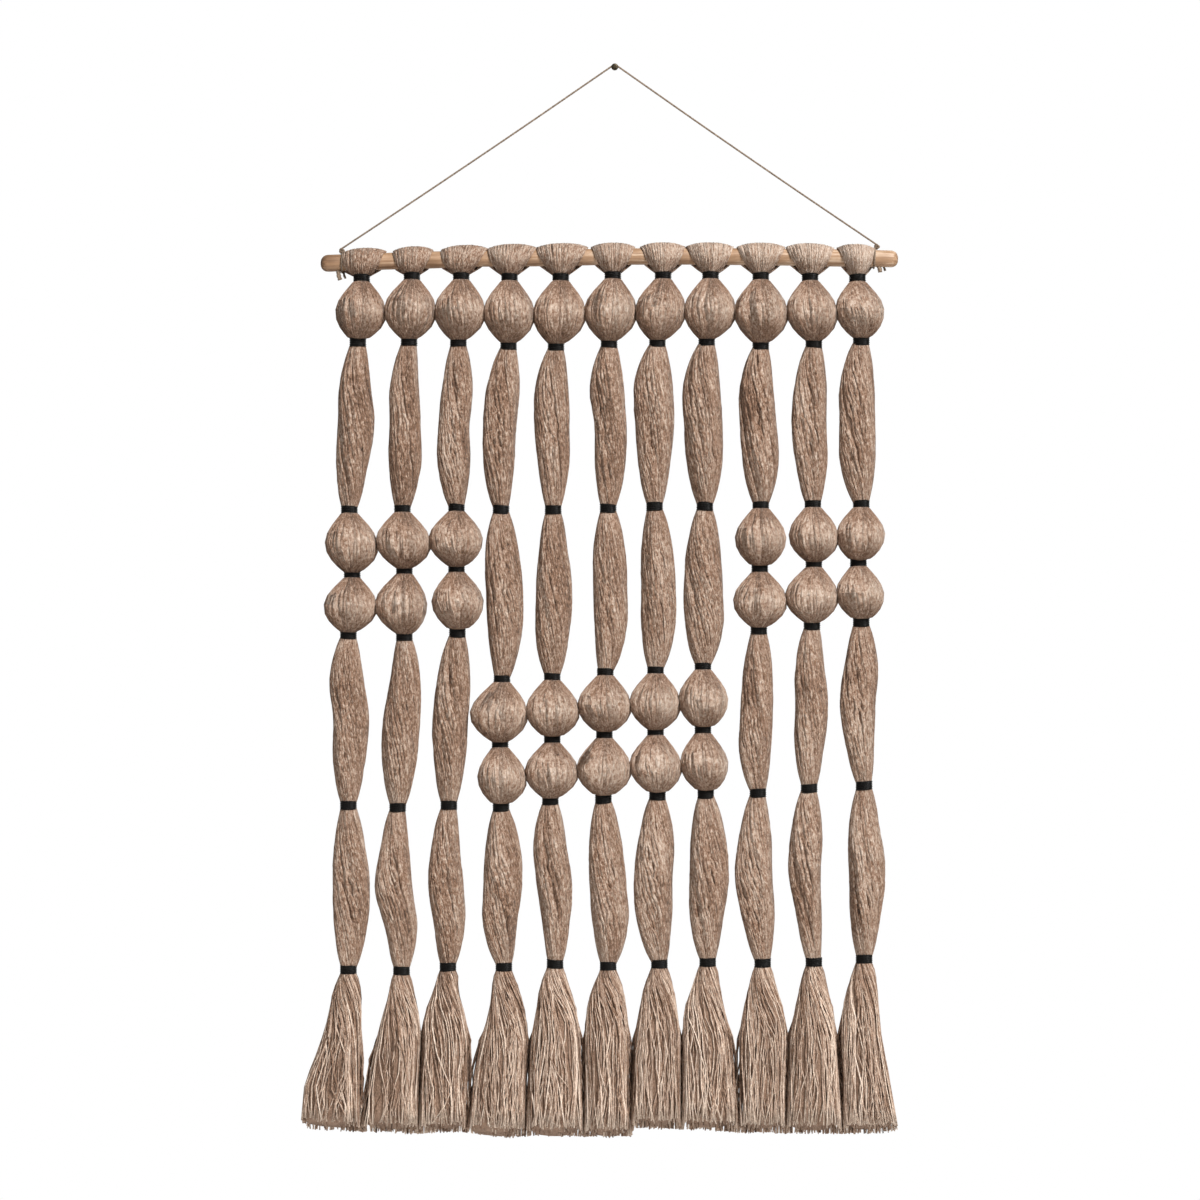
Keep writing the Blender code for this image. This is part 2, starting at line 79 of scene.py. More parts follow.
TWINE_DEPTH = -8
TWINE_OVER_NAIL = NAIL_SHANK_RADIUS + 1 + CLEARANCE
TWINE_SAG = 1.0
TWINE_NEAR_NAIL = 0.97
Knot = namedtuple("Knot", "name lump_x lump_z lump_radius tail")
KNOTS = (
    Knot("knot_left", -289.3, -193.6, 3.4,
         ((-290.4, -20.5, -214.0), (-290.2, -22, -220.5), (-288.6, -22, -226.0))),
    Knot("knot_right", 279.0, -190.4, 3.4,
         ((279.2, -20.5, -211.4), (280.2, -22, -214.5), (280.6, -22, -218.0))),
)
TURN_RADIUS = 1.1

BIND_RADIUS = 9.0
BIND_INNER = 7.55
BIND_HALF_HEIGHT = 4.75
WAIST = 7.2
HANK_DEPTH = -19
LOOP_INNER = ROD_RADIUS + 0.8
BALL_OUT = 7.0
LONG_FLATNESS = 0.84
SHOULDER = 1.8
HEM_HALF_DEPTH = 18.5
HEM_DEPTH = -21

# One row for each length of a hank, from the rod down: the binding at its top, then half widths
# left and right; a long length has them at a quarter, half and three quarters of its height.
Ball = namedtuple("Ball", "x z left right")
Long = namedtuple("Long", "x z left_high left_mid left_low right_high right_mid right_low")
Tassel = namedtuple("Tassel", "x z hem_left hem_right hem_z")
Hank = namedtuple("Hank", "loop_left loop_right lengths")
HANKS = (
    Hank(-287, -241, (
        Ball(-267, -225, 24, 26),
        Long(-271, -292, 17, 17, 16, 15, 21, 16),
        Ball(-280, -469, 26, 27),
        Ball(-277, -537, 26.5, 27),
        Long(-281, -600, 20, 16, 16, 15, 21, 17),
        Long(-281, -780, 15, 17, 15, 17, 22, 19),
        Tassel(-281, -953, -332, -268, -1118))),
    Hank(-233, -192, (
        Ball(-214, -223, 26, 25.5),
        Long(-217, -291, 18, 17, 16, 11, 15, 17),
        Ball(-224, -468, 27.5, 27),
        Ball(-222, -533, 29.5, 23.5),
        Long(-222, -602, 13, 19, 18, 18, 19, 17),
        Long(-229, -782, 19, 26, 16, 10, 13, 17),
        Tassel(-225, -954, -268, -207, -1120))),
    Hank(-182, -134, (
        Ball(-162, -223, 25.5, 25.5),
        Long(-165, -292, 16, 20, 20, 15, 12, 13),
        Ball(-167, -467, 27.5, 27),
        Ball(-167, -531, 25.5, 27.5),
        Long(-166, -598, 19, 22, 18, 15, 15, 14),
        Long(-175, -780, 18, 21, 15, 11, 15, 17),
        Tassel(-176, -950, -207, -157, -1120))),
    Hank(-133, -83, (
        Ball(-111, -224, 25.5, 25.5),
        Long(-112, -295, 21, 23, 20, 13, 11, 11),
        Long(-120, -468, 17, 16, 14, 18, 22, 20),
        Ball(-119, -647, 32, 26.5),
        Ball(-121, -716, 23.5, 26),
        Long(-120, -782, 17, 20, 21, 19, 20, 14),
        Tassel(-117, -950, -157, -94, -1127))),
    Hank(-82, -29, (
        Ball(-57, -224, 25.5, 27),
        Long(-62, -296, 21, 21, 16, 13, 15, 15),
        Long(-65, -468, 15, 18, 18, 15, 20, 17),
        Ball(-66, -645, 26.5, 27),
        Ball(-66, -711, 26.5, 27),
        Long(-68, -775, 19, 17, 12, 15, 20, 16),
        Tassel(-63, -947, -94, -33, -1127))),
    Hank(-24, 20, (
        Ball(-2, -222, 27, 25.5),
        Long(-6, -293, 20, 15, 14, 15, 18, 17),
        Long(-7, -467, 15, 14, 12, 18, 21, 21),
        Ball(-10, -640, 27.5, 26),
        Ball(-11, -706, 27.5, 27),
        Long(-12, -773, 16, 17, 15, 17, 21, 22),
        Tassel(-7, -949, -33, 16, -1127))),
    Hank(28, 73, (
        Ball(51, -222, 25.5, 25),
        Long(45, -292, 24, 22, 18, 16, 18, 15),
        Long(42, -465, 14, 15, 15, 18, 21, 20),
        Ball(43, -638, 26.5, 24.5),
        Ball(43, -703, 27.5, 25),
        Long(45, -770, 20, 26, 23, 16, 14, 13),
        Tassel(47, -947, 16, 70, -1117))),
    Hank(76, 124, (
        Ball(101, -222, 25, 27),
        Long(97, -291, 24, 23, 19, 14, 17, 17),
        Long(95, -465, 18, 21, 19, 16, 19, 20),
        Ball(93, -634, 25, 25.5),
        Ball(93, -701, 25, 24),
        Long(96, -768, 16, 18, 18, 20, 23, 16),
        Tassel(98, -945, 70, 131, -1118))),
    Hank(130, 179, (
        Ball(154, -223, 27, 26.5),
        Long(154, -295, 22, 22, 19, 13, 16, 18),
        Ball(154, -464, 26, 26),
        Ball(153, -531, 27, 27.5),
        Long(152, -595, 16, 19, 20, 14, 15, 13),
        Long(151, -767, 21, 27, 20, 12, 12, 13),
        Tassel(156, -946, 131, 180, -1119))),
    Hank(181, 230, (
        Ball(206, -224, 26.5, 24.5),
        Long(210, -293, 20, 23, 18, 13, 13, 14),
        Ball(209, -463, 25.5, 24.3),
        Ball(210, -526, 28.5, 24.5),
        Long(208, -590, 17, 16, 16, 13, 18, 14),
        Long(205, -762, 20, 24, 17, 12, 9, 9),
        Tassel(210, -945, 180, 240, -1121))),
    Hank(235, 274, (
        Ball(256, -225, 24.5, 24.5),
        Long(260, -290, 22, 23, 22, 13, 14, 14),
        Ball(260, -463, 24.2, 25),
        Ball(257, -525, 24.5, 24),
        Long(260, -587, 18, 24, 19, 16, 13, 11),
        Long(263, -759, 16, 16, 15, 16, 22, 17),
        Tassel(263, -942, 240, 299, -1120))),
)

# Half widths of the tassels, left then right of their bindings, at these drops below them.
TASSEL_DROPS = (0, 4.75, 12, 25, 50, 80, 120)
TASSEL_HEAD = (6.2, 8.8, 11.8)
TASSEL_SIDES = (
    ((17, 22, 31, 47), (14.5, 14.6, 13.6, 13.4)),
    ((14, 21, 29, 37), (14.5, 20, 21, 19.5)),
    ((15.5, 26, 29, 30.5), (11, 18.3, 23, 22)),
    ((13.3, 16.5, 27, 35), (17.3, 24.2, 27, 25)),
    ((16.7, 20, 27, 29.5), (16, 24, 28, 29.5)),
    ((17.8, 24, 26, 26), (17, 20.7, 23, 23)),
    ((17, 21.7, 28, 30), (15.8, 19.5, 23.5, 23.5)),
    ((16.2, 25.5, 28, 28), (13.3, 18.5, 26, 30)),
    ((15.2, 21, 27, 26), (14.4, 23.3, 26, 25)),
    ((15.4, 20.6, 27, 29), (14.2, 21.5, 24, 27.5)),
    ((16.7, 23, 27, 25), (14, 16, 18.7, 26)),
)
# The lower edge of the fringe, as (x, z) from left to right.
HEM_LINE = ((-333, -1112), (-322, -1119), (-300, -1121.5), (-240, -1122.5), (-215, -1124.5),
            (-180, -1123), (-160, -1122.5), (-130, -1127), (-110, -1128.5), (-90, -1126.5),
            (0, -1128), (14, -1127), (20, -1118.5), (90, -1120), (140, -1123.5),
            (280, -1124.5), (300, -1120))

# ---------------------------------------------------------------- sizes of the visual model

# A ball swells past its table by the first amount where it hangs free.  Where it presses on its
# neighbour it would swell by the second past the middle of their gap, but turns flat there, with
# the hairs of the two mingled by the third.  Its right side hangs fuller below the middle.
BALL_PROUD = 0.7
BALL_PRESS = 0.9
BALL_MINGLE = 0.4
BALL_RIGHT_FULLNESS = 0.24
BALL_LEFT_FULLNESS = 0.06
# Two balls hang side by side if their tops differ by less than the first in height, and press on
# each other if their tables leave less than the second between them.
SAME_ROW = 20
TOUCHING_GAP = 4
# Under its right-hand contact a ball's rear laps its neighbour by the first amount, most at the
# second share of its height, and less above and below it, by a bell curve as wide as the third.
BALL_LAP = 2.0
BALL_LAP_PLACE = 0.72
BALL_LAP_SPREAD = 0.11
# The share of a strand's depth that is left where a ball is pressed flat.
FLAT_INSET = 0.7
# Painted shade on a ball: how much darker it is at shares of its height, most by its bindings.
BALL_SHADE = ((0, -0.26), (0.12, -0.27), (0.3, -0.17), (0.48, -0.04), (0.65, -0.12),
              (0.85, -0.22), (1, -0.28))
# A slack length swells past its table by this much to its left and to its right.
LONG_PROUD_LEFT = 0.2
LONG_PROUD_RIGHT = 0.9
# How far the strands of a ball turn about it on the way down, in radians.
BALL_TWIST = 0.15
# How strands lie on a ball and on a slack length, in locks; lengths in mm, angles in radians:
#   twist_spread  how lengths differ in twist      swelling   how a strand widens where free
#   sway          a lock's drift to the side       inset      share of its radius under the surface
#   own_bends     how often a strand drifts        tone       lightness
#   sunk_bends    how often its depth changes      plain      how strands differ in lightness
#   sunk          depth of a strand                lock_tone  how locks differ in lightness
#   sinking       depth of a lock                  loose      how far its flat side may turn,
#   groove        depth between locks                         as a share of a side's angle
Laying = namedtuple("Laying", "stations fewest_locks twist_spread sway own_bends sunk_bends sunk "
                              "sinking groove swelling inset tone plain lock_tone loose")
BALL_LAYING = Laying(13, 6, 0.15, 0.03, 6, 5, 0.1, 0.12, 1.2, 2.9, 0.5, 0.53, 0.36, 0.02, 0.07)
SLACK_LAYING = Laying(28, 5, 0.35, 0.07, 12, 14, 0.35, 0.4, 3.2, 1.3, 0.65, 0.5, 0.5, 0.035, 0.22)
# The yarn drawn together inside a binding.
NECK_RADIUS = 6.4
NECK_BEYOND_BINDING = 0.6
# Strands of a loop, from its surface down: how many, how far they reach to its sides, and how far
# up they lie between the rod and the loop's surface, which is LOOP_THICKNESS further out.
LOOP_LAYERS = ((44, 0.99, 1.0), (16, 0.85, 0.62), (6, 0.7, 0.25))
LOOP_THICKNESS = 4.5
# A loop's strand goes round the rod for this share of its half, and then to its binding.
LOOP_ROUND = 0.7
# Strands inside a tassel's coat, bent strands outside it, and the locks of the coat.
TASSEL_FILLING = 40
TASSEL_STRAYS = 6
TASSEL_LOCKS = 11
# A tassel's strand has its points at these shares of its length.
TASSEL_STEPS = (0.012, 0.03, 0.06, 0.11, 0.18, 0.26, 0.35, 0.45, 0.56, 0.67, 0.78, 0.89, 1)
TASSEL_HEAD_DEPTH = 8.2
# Between two turns of a binding's cord, and at its rims, the surface lies deeper by this much.
CORD_RELIEF = 0.75
CORD_RIM = 0.9
# The stick is a little thicker than its solid and bows up by this much, falling off to its ends.
ROD_SEEN_RADIUS = 8.9
ROD_SEEN_ROUNDING = 7.5
ROD_BOW = 3.1
ROD_BOW_MIDDLE = -10
ROD_BOW_FALL = 4.7 / 300 ** 2
# Tones of the stick: at its left end, -1, or right end, 1, this far in from it, this light.
ROD_TONES = ((-1, 0, -0.35), (-1, 4, -0.12), (-1, 25, -0.06), (-1, 50, 0.04), (1, 4, 0.13),
             (1, 0, -0.1))
# The ties as they are seen: where the turn round the rod lies and how light it is, the left one
# darker as painted shade, and how far the knot has slipped from the place in its row.
Tie = namedtuple("Tie", "turn_x turn_tone slip")
TIES = {"knot_left": Tie(-287.4, 0.25, (1.3, 0, -1.5)),
        "knot_right": Tie(273.5, 0.5, (-2.6, 0, -0.3))}
# The two ends of twine under a knot: how far aside of its row, behind it and short of it they are,
# their thickness in twines, and their tone, the rear one dark with painted shade.
Tail = namedtuple("Tail", "aside behind shorter thick tone")
TAILS = (Tail(-0.9, 0, 0, 2.5, 0.5), Tail(4.6, 3.2, 1.8, 1.3, 0.15))
# Length of one turn of the plies: of the twine, and of its untied ends.
TWINE_LAY = 6
TAIL_LAY = 8

# In metres: what the camera looks at, and the lamps with their places from there and their sizes.
LOOK_AT = np.array((-0.0156, -0.019, -0.5634))
Lamp = namedtuple("Lamp", "name place size")
LAMPS = (Lamp("key", (3.45, -5.85, 5.4), 2.4), Lamp("fill", (-2.4, -2.0, -0.4), 1.6),
         Lamp("rear", (0.7, 2.3, 0.8), 1.8))
CAMERA_SENSOR = 36
FLOOR_MIDDLE = (0, -0.8, -2)
FLOOR_RADIUS = 3.5


# ---------------------------------------------------------------- colours and nodes

def colour(code):
    """An sRGB hex value as linear red, green, blue and alpha."""
    shares = [(code >> shift & 255) / 255 for shift in (16, 8, 0)]
    return (*(c / 12.92 if c <= 0.04045 else ((c + 0.055) / 1.055) ** 2.4 for c in shares), 1.0)


def add_node(tree, kind, inputs=None, **settings):
    """Add a node; inputs gives its sockets a value, or another node's output to link to."""
    node = tree.nodes.new(kind)
    for name, value in settings.items():
        setattr(node, name, value)
    for name, value in (inputs or {}).items():
        if isinstance(value, bpy.types.NodeSocket):
            tree.links.new(value, node.inputs[name])
        else:
            node.inputs[name].default_value = value
    return node


def weighted_sum(tree, start, *parts):
    """A value plus others times their weights: start + sum of socket x weight."""
    for socket, weight in parts:
        start = add_node(tree, "ShaderNodeMath", {0: socket, 1: weight, 2: start},
                         operation="MULTIPLY_ADD").outputs[0]
    return start


def noise(tree, grain, detail, **sockets):
    """Noise over the object's own coordinates, its grains this large in x, y and z, in metres."""
    place = add_node(tree, "ShaderNodeTexCoord")
    scaled = add_node(tree, "ShaderNodeMapping",
                      {"Vector": place.outputs["Object"], "Scale": [1 / size for size in grain]})
    return add_node(tree, "ShaderNodeTexNoise", {"Vector": scaled.outputs[0], "Scale": 1.0,
                                                 "Detail": detail, **sockets}).outputs["Fac"]


def colour_ramp(tree, value, stops):
    """The colours that a value runs through, given as (place, hex colour) stops."""
    ramp = add_node(tree, "ShaderNodeValToRGB", {"Fac": value})
    elements = ramp.color_ramp.elements
    while len(elements) < len(stops):
        elements.new(0.5)
    for element, (place, code) in zip(elements, stops):
        element.position = place
        element.color = colour(code)
    return ramp.outputs["Color"]


def new_material(name):
    """An empty material; returns it with its node tree."""
    made = bpy.data.materials.new(name)
    made.use_nodes = True
    made.node_tree.nodes.clear()
    return made, made.node_tree


def finish_surface(tree, base, bump_height, bump_distance, sockets):
    """The Principled shader with its base colour, a bump in metres and its constant sockets."""
    bump = add_node(tree, "ShaderNodeBump", {"Height": bump_height, "Distance": bump_distance})
    shader = add_node(tree, "ShaderNodeBsdfPrincipled",
                      {"Base Color": base, "Normal": bump.outputs["Normal"], **sockets})
    add_node(tree, "ShaderNodeOutputMaterial", {"Surface": shader.outputs["BSDF"]})


def twist_lines(tree, starts, pitch):
    """Sine of so many turns round a strand plus its length over the pitch of the twist.

    The strand's own UV map, which is returned first, holds turns in u and metres along it in v.
    """
    uv = add_node(tree, "ShaderNodeUVMap", uv_map="strand").outputs["UV"]
    split = add_node(tree, "ShaderNodeSeparateXYZ", {0: uv})
    phase = weighted_sum(tree, 0.0, (split.outputs["X"], starts * TAU),
                         (split.outputs["Y"], TAU / pitch))
    sine = add_node(tree, "ShaderNodeMath", {0: phase}, operation="SINE")
    return uv, sine.outputs[0]


def yarn_material(name, stops, sheen=0.0, bundles_round=2, pitch=0.0038, curl=0.0034):
    """Single-ply jute, spun and combed but not dyed: dry, hairy and matt, with a pale edge glow.

    The tone attribute holds each strand's lightness, with painted light and shade, darker the
    deeper it lies.  On top of it come bundles of fibres, so many round the strand and 5 mm long,
    the crimp of the unwound yarn, 1.4 mm across and one curl long, and the slanted lines of the
    twist.  The real fibres are 0.05 mm thick; the hairs here are 0.6 mm, the finest that the
    picture can show.
    """
    _, tree = new_material(name)
    tone = add_node(tree, "ShaderNodeAttribute", attribute_name="tone")
    uv, twist = twist_lines(tree, 1, pitch)
    combed = add_node(tree, "ShaderNodeMapping",
                      {"Vector": uv, "Scale": (bundles_round, 1 / 0.005, 1)})
    bundles = add_node(tree, "ShaderNodeTexNoise",
                       {"Vector": combed.outputs[0], "Scale": 1.0, "Detail": 3.0,
                        "Roughness": 0.6}, noise_dimensions="2D").outputs["Fac"]
    hairs = noise(tree, (0.0006, 0.0006, 0.0006), 1.0)
    crimp = noise(tree, (0.0014, 0.0014, curl), 2.0, Roughness=0.7, Distortion=1.2)
    shade = weighted_sum(tree, tone.outputs["Fac"], (bundles, 0.82), (crimp, 0.74))
    # Both patterns swing about one half, so half their weights comes off again.
    level = add_node(tree, "ShaderNodeMath", {0: shade, 1: 0.78}, operation="SUBTRACT")
    height = weighted_sum(tree, hairs, (twist, 0.2), (crimp, 2.1), (bundles, 2.0))
    finish_surface(tree, colour_ramp(tree, level.outputs[0], stops), height, 0.00035,
                   {"Roughness": 0.85, "Sheen Weight": sheen, "Sheen Roughness": 0.6,
                    "Sheen Tint": colour(0xF2E8DC), "Specular IOR Level": 0.4})


def make_materials(sheen):
    """The seven finishes of the hanging, each named for its real material."""
    yarn_material("jute_yarn", ((0.0, 0x341F12), (0.28, 0x7F5F49), (0.5, 0xAC9482),
                                (0.65, 0xBFAB9A), (0.85, 0xD5C5B8), (1.0, 0xEADCD0)), sheen)
    # The cut ends: the same yarn with its crimp let go, in curls 1.4 mm long.
    yarn_material("jute_cut_ends", ((0.0, 0x3A2313), (0.3, 0x86664F), (0.55, 0xB39885),
                                    (0.8, 0xD9C2AE), (1.0, 0xEED9C7)), sheen, curl=0.0014)
    # Jute deep in a hank, a copy of the yarn darker as painted shade: the same fibre, dull, in
    # some 90 bundles round it.
    yarn_material("jute_in_shade", ((0.0, 0x3E2D22), (0.5, 0x876C59), (1.0, 0xBE9F89)),
                  bundles_round=90)
    # Two-ply jute twine, greyer and harder spun than the hanks, with little glow.
    yarn_material("two_ply_jute_twine", ((0.0, 0x3C3027), (0.5, 0x7F6C5A), (1.0, 0xB39F8A)),
                  sheen=0.1, bundles_round=4, pitch=0.003)

    # Waxed black cotton cord, braided: a smooth black with a narrow soft gleam on each turn.
    _, tree = new_material("waxed_black_cotton_cord")
    _, braid = twist_lines(tree, 20, 0.0016)
    finish_surface(tree, colour_ramp(tree, braid, ((0.0, 0x040302), (1.0, 0x0C0906))), braid,
                   0.00012, {"Roughness": 0.45, "Specular IOR Level": 0.2})

    # A debarked, sanded pine stick: pale satin wood, with brown streaks along it that are 3 mm
    # across and 60 mm long, and blotches of 30 mm.
    _, tree = new_material("sanded_pine")
    streaks = noise(tree, (0.06, 0.003, 0.003), 5.0, Roughness=0.65, Distortion=0.4)
    blotches = noise(tree, (0.03, 0.03, 0.03), 2.0)
    tone = add_node(tree, "ShaderNodeAttribute", attribute_name="tone")
    shade = weighted_sum(tree, streaks, (blotches, 0.5), (tone.outputs["Fac"], 1.0))
    stops = ((0.3, 0x4E3828), (0.6, 0x7A5C43), (0.87, 0xA07F62), (1.0, 0xBEA48B))
    finish_surface(tree, colour_ramp(tree, shade, stops), streaks, 0.0003,
                   {"Roughness": 0.5, "Specular IOR Level": 0.4})

    # A plain steel nail, browned by age: a dull dark metal with scale of 1.2 mm.
    _, tree = new_material("browned_steel")
    scale = noise(tree, (0.0012, 0.0012, 0.0012), 3.0)
    finish_surface(tree, colour_ramp(tree, scale, ((0.3, 0x2A251C), (0.7, 0x544B3C))), scale,
                   0.0001, {"Metallic": 1.0, "Roughness": 0.45})


def finish_named(name):
    """A finish of the hanging, made with the others when it is first asked for."""
    if name not in bpy.data.materials:
        make_materials(bpy.context.scene.hanging_yarn.sheen)
    return bpy.data.materials[name]


# ---------------------------------------------------------------- surfaces

# Numbers of a piece's materials: what shows, and the jute deep inside.
OUTER, INNER = 0, 1

# A surface: points (count, 3) in millimetres, faces as a list of (corner indices, corner UVs),
# one tone for each point, and the number of its material.
Surface = namedtuple("Surface", "points faces tone material")


def unit(vectors):
    """Vectors divided by their lengths."""
    return vectors / np.maximum(np.linalg.norm(vectors, axis=-1, keepdims=True), 1e-9)


def fade(value, start, end):
    """(value - start) / (end - start), held between 0 and 1."""
    return np.clip((value - start) / (end - start), 0, 1)


def round_turn(count):
    """Angles at even steps round a turn: 2 pi i / count."""
    return TAU * np.arange(count) / count


def points_of(x, y, z):
    """Points (..., 3) from coordinates, each of them spread to the shape of all three."""
    return np.stack(np.broadcast_arrays(x, y, z), axis=-1)


def distance_along(points):
    """Distance along a line, points (..., stations, 3), from its first point to each of them."""
    steps = np.linalg.norm(np.diff(points, axis=-2), axis=-1)
    return np.cumsum(np.concatenate((np.zeros_like(steps[..., :1]), steps), axis=-1), axis=-1)


def sweep(rings, along, closed=False):
    """Faces between rings of points that are carried along a path, capped unless it is closed.

    rings is (strands, stations, sides, 3), each ring right-handed about the way of travel, so
    that ring step x travel points outwards.  u is the share of a turn, v the length in metres.
    """
    strands, stations, sides = rings.shape[:3]
    index = np.arange(strands * stations * sides).reshape(strands, stations, sides)
    step = np.roll(index, -1, axis=2)
    u = np.broadcast_to(np.arange(sides) / sides, index.shape)
    v = np.broadcast_to(along[..., None], index.shape)
    if closed:
        span = along[:, -1:, None] * 2 - along[:, -2:-1, None]
        index, step, u = (np.concatenate((a, a[:, :1]), axis=1) for a in (index, step, u))
        v = np.concatenate((v, np.broadcast_to(span, (strands, 1, sides))), axis=1)

    def corners(near, far):
        """What is at the four corners of each face, from its near side and its far side."""
        return np.stack((near[:, :-1], far[:, :-1], far[:, 1:], near[:, 1:]), axis=-1)

    uv = np.stack((corners(u, u + 1 / sides), corners(v, v)), axis=-1)
    faces = [(corners(index, step).reshape(-1, 4), uv.reshape(-1, 4, 2))]
    if not closed:
        ends, *spots = (np.concatenate((a[:, 0, ::-1], a[:, -1])) for a in (index, u, v))
        faces.append((ends, np.stack(spots, axis=-1)))
    return faces


def strand_tubes(rng, paths, radii, outward, tone, loose=0.5):
    """Thin three-sided tubes, one a strand: path + radius (cos a N + sin a B).

    N is the outward direction made square to the path, and B = travel x N.  A flat side faces
    outwards, give or take the share loose of one side's angle.
    """
    sides = 3
    travel = unit(np.gradient(paths, axis=1))
    normal = unit(outward - (outward * travel).sum(-1, keepdims=True) * travel)
    side = np.cross(travel, normal)
    angle = TAU * (np.arange(sides) + 0.5 + rng.uniform(-loose, loose, (len(paths), 1))) / sides
    angle = angle[:, None, :, None]
    rings = (paths[:, :, None] + radii[:, :, None, None]
             * (np.cos(angle) * normal[:, :, None] + np.sin(angle) * side[:, :, None]))
    along = distance_along(paths) / MM + rng.random((len(paths), 1))
    return Surface(rings.reshape(-1, 3), sweep(rings, along), np.repeat(tone.reshape(-1), sides),
                   OUTER)


def sleeve(rings, tone, material=OUTER, closed=False):
    """One tube with sections of its own: rings (stations, sides, 3), one tone or one a station."""
    along = distance_along(rings.mean(axis=1))[None] / MM
    tones = np.broadcast_to(np.reshape(tone, (-1, 1)), rings.shape[:2])
    return Surface(rings.reshape(-1, 3), sweep(rings[None], along, closed), tones.reshape(-1),
                   material)


def build_piece(name, surfaces, finishes, nodes):
    """Put surfaces into one mesh, in metres, that rides on the hanging and replaces solids."""
    points = np.concatenate([s.points for s in surfaces]) / MM
    corners, uvs, sizes, slots, offset = [], [], [], [], 0
    for surface in surfaces:
        for index, uv in surface.faces:
            corners.append((index + offset).reshape(-1))
            uvs.append(uv.reshape(-1))
            sizes.append(np.full(len(index), index.shape[1]))
            slots.append(np.full(len(index), surface.material))
        offset += len(surface.points)
    sizes = np.concatenate(sizes)
    mesh = bpy.data.meshes.new(name)
    mesh.vertices.add(len(points))
    mesh.vertices.foreach_set("co", points.reshape(-1))
    mesh.loops.add(int(sizes.sum()))
    mesh.loops.foreach_set("vertex_index", np.concatenate(corners).astype(np.int32))
    mesh.polygons.add(len(sizes))
    mesh.polygons.foreach_set("loop_start", (np.cumsum(sizes) - sizes).astype(np.int32))
    mesh.polygons.foreach_set("material_index", np.concatenate(slots).astype(np.int32))
    mesh.polygons.foreach_set("use_smooth", np.ones(len(sizes), bool))
    mesh.uv_layers.new(name="strand").data.foreach_set("uv", np.concatenate(uvs))
    tone = mesh.attributes.new("tone", "FLOAT", "POINT")
    tone.data.foreach_set("value", np.concatenate([s.tone for s in surfaces]))
    for finish in finishes:
        mesh.materials.append(finish_named(finish))
    mesh.update(calc_edges=True)
    if mesh.validate():
        raise RuntimeError(f"{name} has faces that Blender had to mend")
    piece = bpy.data.objects.new(name, mesh)
    bpy.context.scene.collection.objects.link(piece)
    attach(piece, BODY)
    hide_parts(*nodes)
    return piece


def drift(rng, rows, columns, spans, size):
    """Smooth random lines, one a row: random heights at even places, eased from one to the next."""
    heights = rng.normal(0, size, (rows, spans + 2))
    place = np.linspace(0, spans, columns)
    left = place.astype(int)
    share = (place - left) ** 2 * (3 - 2 * (place - left))
    return heights[:, left] * (1 - share) + heights[:, left + 1] * share


# ---------------------------------------------------------------- balls and slack lengths

def smooth_through(places, values, t):
    """Cubic curve through (place, value) points, steep at both ends, for an array of places t.

    v + rise u^2 (3 - 2 u) + slope_in u (1 - u)^2 - slope_out u^2 (1 - u), u from 0 to 1 between
    two points; the slopes are half the rise over both neighbours, and SHOULDER rise at the ends.
    """
    places, values = np.asarray(places), np.asarray(values)
    rise = np.diff(values)
    slope = np.concatenate((SHOULDER * rise[:1], (rise[1:] + rise[:-1]) / 2, SHOULDER * rise[-1:]))
    i = np.clip(np.searchsorted(places, t, "right") - 1, 0, len(rise) - 1)
    u = (t - places[i]) / (places[i + 1] - places[i])
    return (values[i] + rise[i] * u * u * (3 - 2 * u)
            + slope[i] * u * (1 - u) ** 2 - slope[i + 1] * u * u * (1 - u))


def swell(length, t, edge, fullness=0.0):
    """How far a share t of a length has swollen from its waist, 0 at the bindings, 1 half way.

    A ball rises as 0.06 + 0.94 sin(pi s ^ 1.08) ^ p, with s counted between the edges of its
    bindings, so that it is widest a little below its middle; p is 1, less the fullness below.
    A slack length rises as the root of sin(pi s).
    """
    s = fade(t, edge, 1 - edge)
    if isinstance(length, Ball):
        power = 1 - fullness * fade(s, 0.4, 0.6)
        return 0.06 + 0.94 * np.maximum(np.sin(np.pi * s ** 1.08), 0) ** power
    return np.sin(np.pi * s) ** 0.5


def ball_side(ball, below, way):
    """A ball's full half width to one side, way -1 or 1, and the half width that it may not pass.

    The second is half way to the next hank's ball where that one is near, or else unlimited.
    """
    half = ball.right if way > 0 else ball.left
    for hank in HANKS:
        for other, lower in zip(hank.lengths, hank.lengths[1:]):
            away = way * (other.x + lower.x - ball.x - below.x) / 2
            if isinstance(other, Ball) and away > 0 and abs(other.z - ball.z) < SAME_ROW:
                gap = away - half - (other.left if way > 0 else other.right)
                if gap < TOUCHING_GAP:
                    return half + gap / 2 + BALL_PRESS, half + gap / 2 + BALL_MINGLE
    return half + BALL_PROUD, np.inf


def lap(ball, below, t, edge, angle):
    """How far the rear of a ball's right side laps the next ball, if the two touch.

    BALL_LAP exp(-((s - BALL_LAP_PLACE) / BALL_LAP_SPREAD) ^ 2), s counted between the bindings.
    """
    s = (t - edge) / (1 - 2 * edge)
    touching = np.isfinite(ball_side(ball, below, 1)[1])
    behind = fade(np.sin(angle), -0.125, 0.125) * (np.cos(angle) > 0)
    return BALL_LAP * touching * behind * np.exp(-((s - BALL_LAP_PLACE) / BALL_LAP_SPREAD) ** 2)


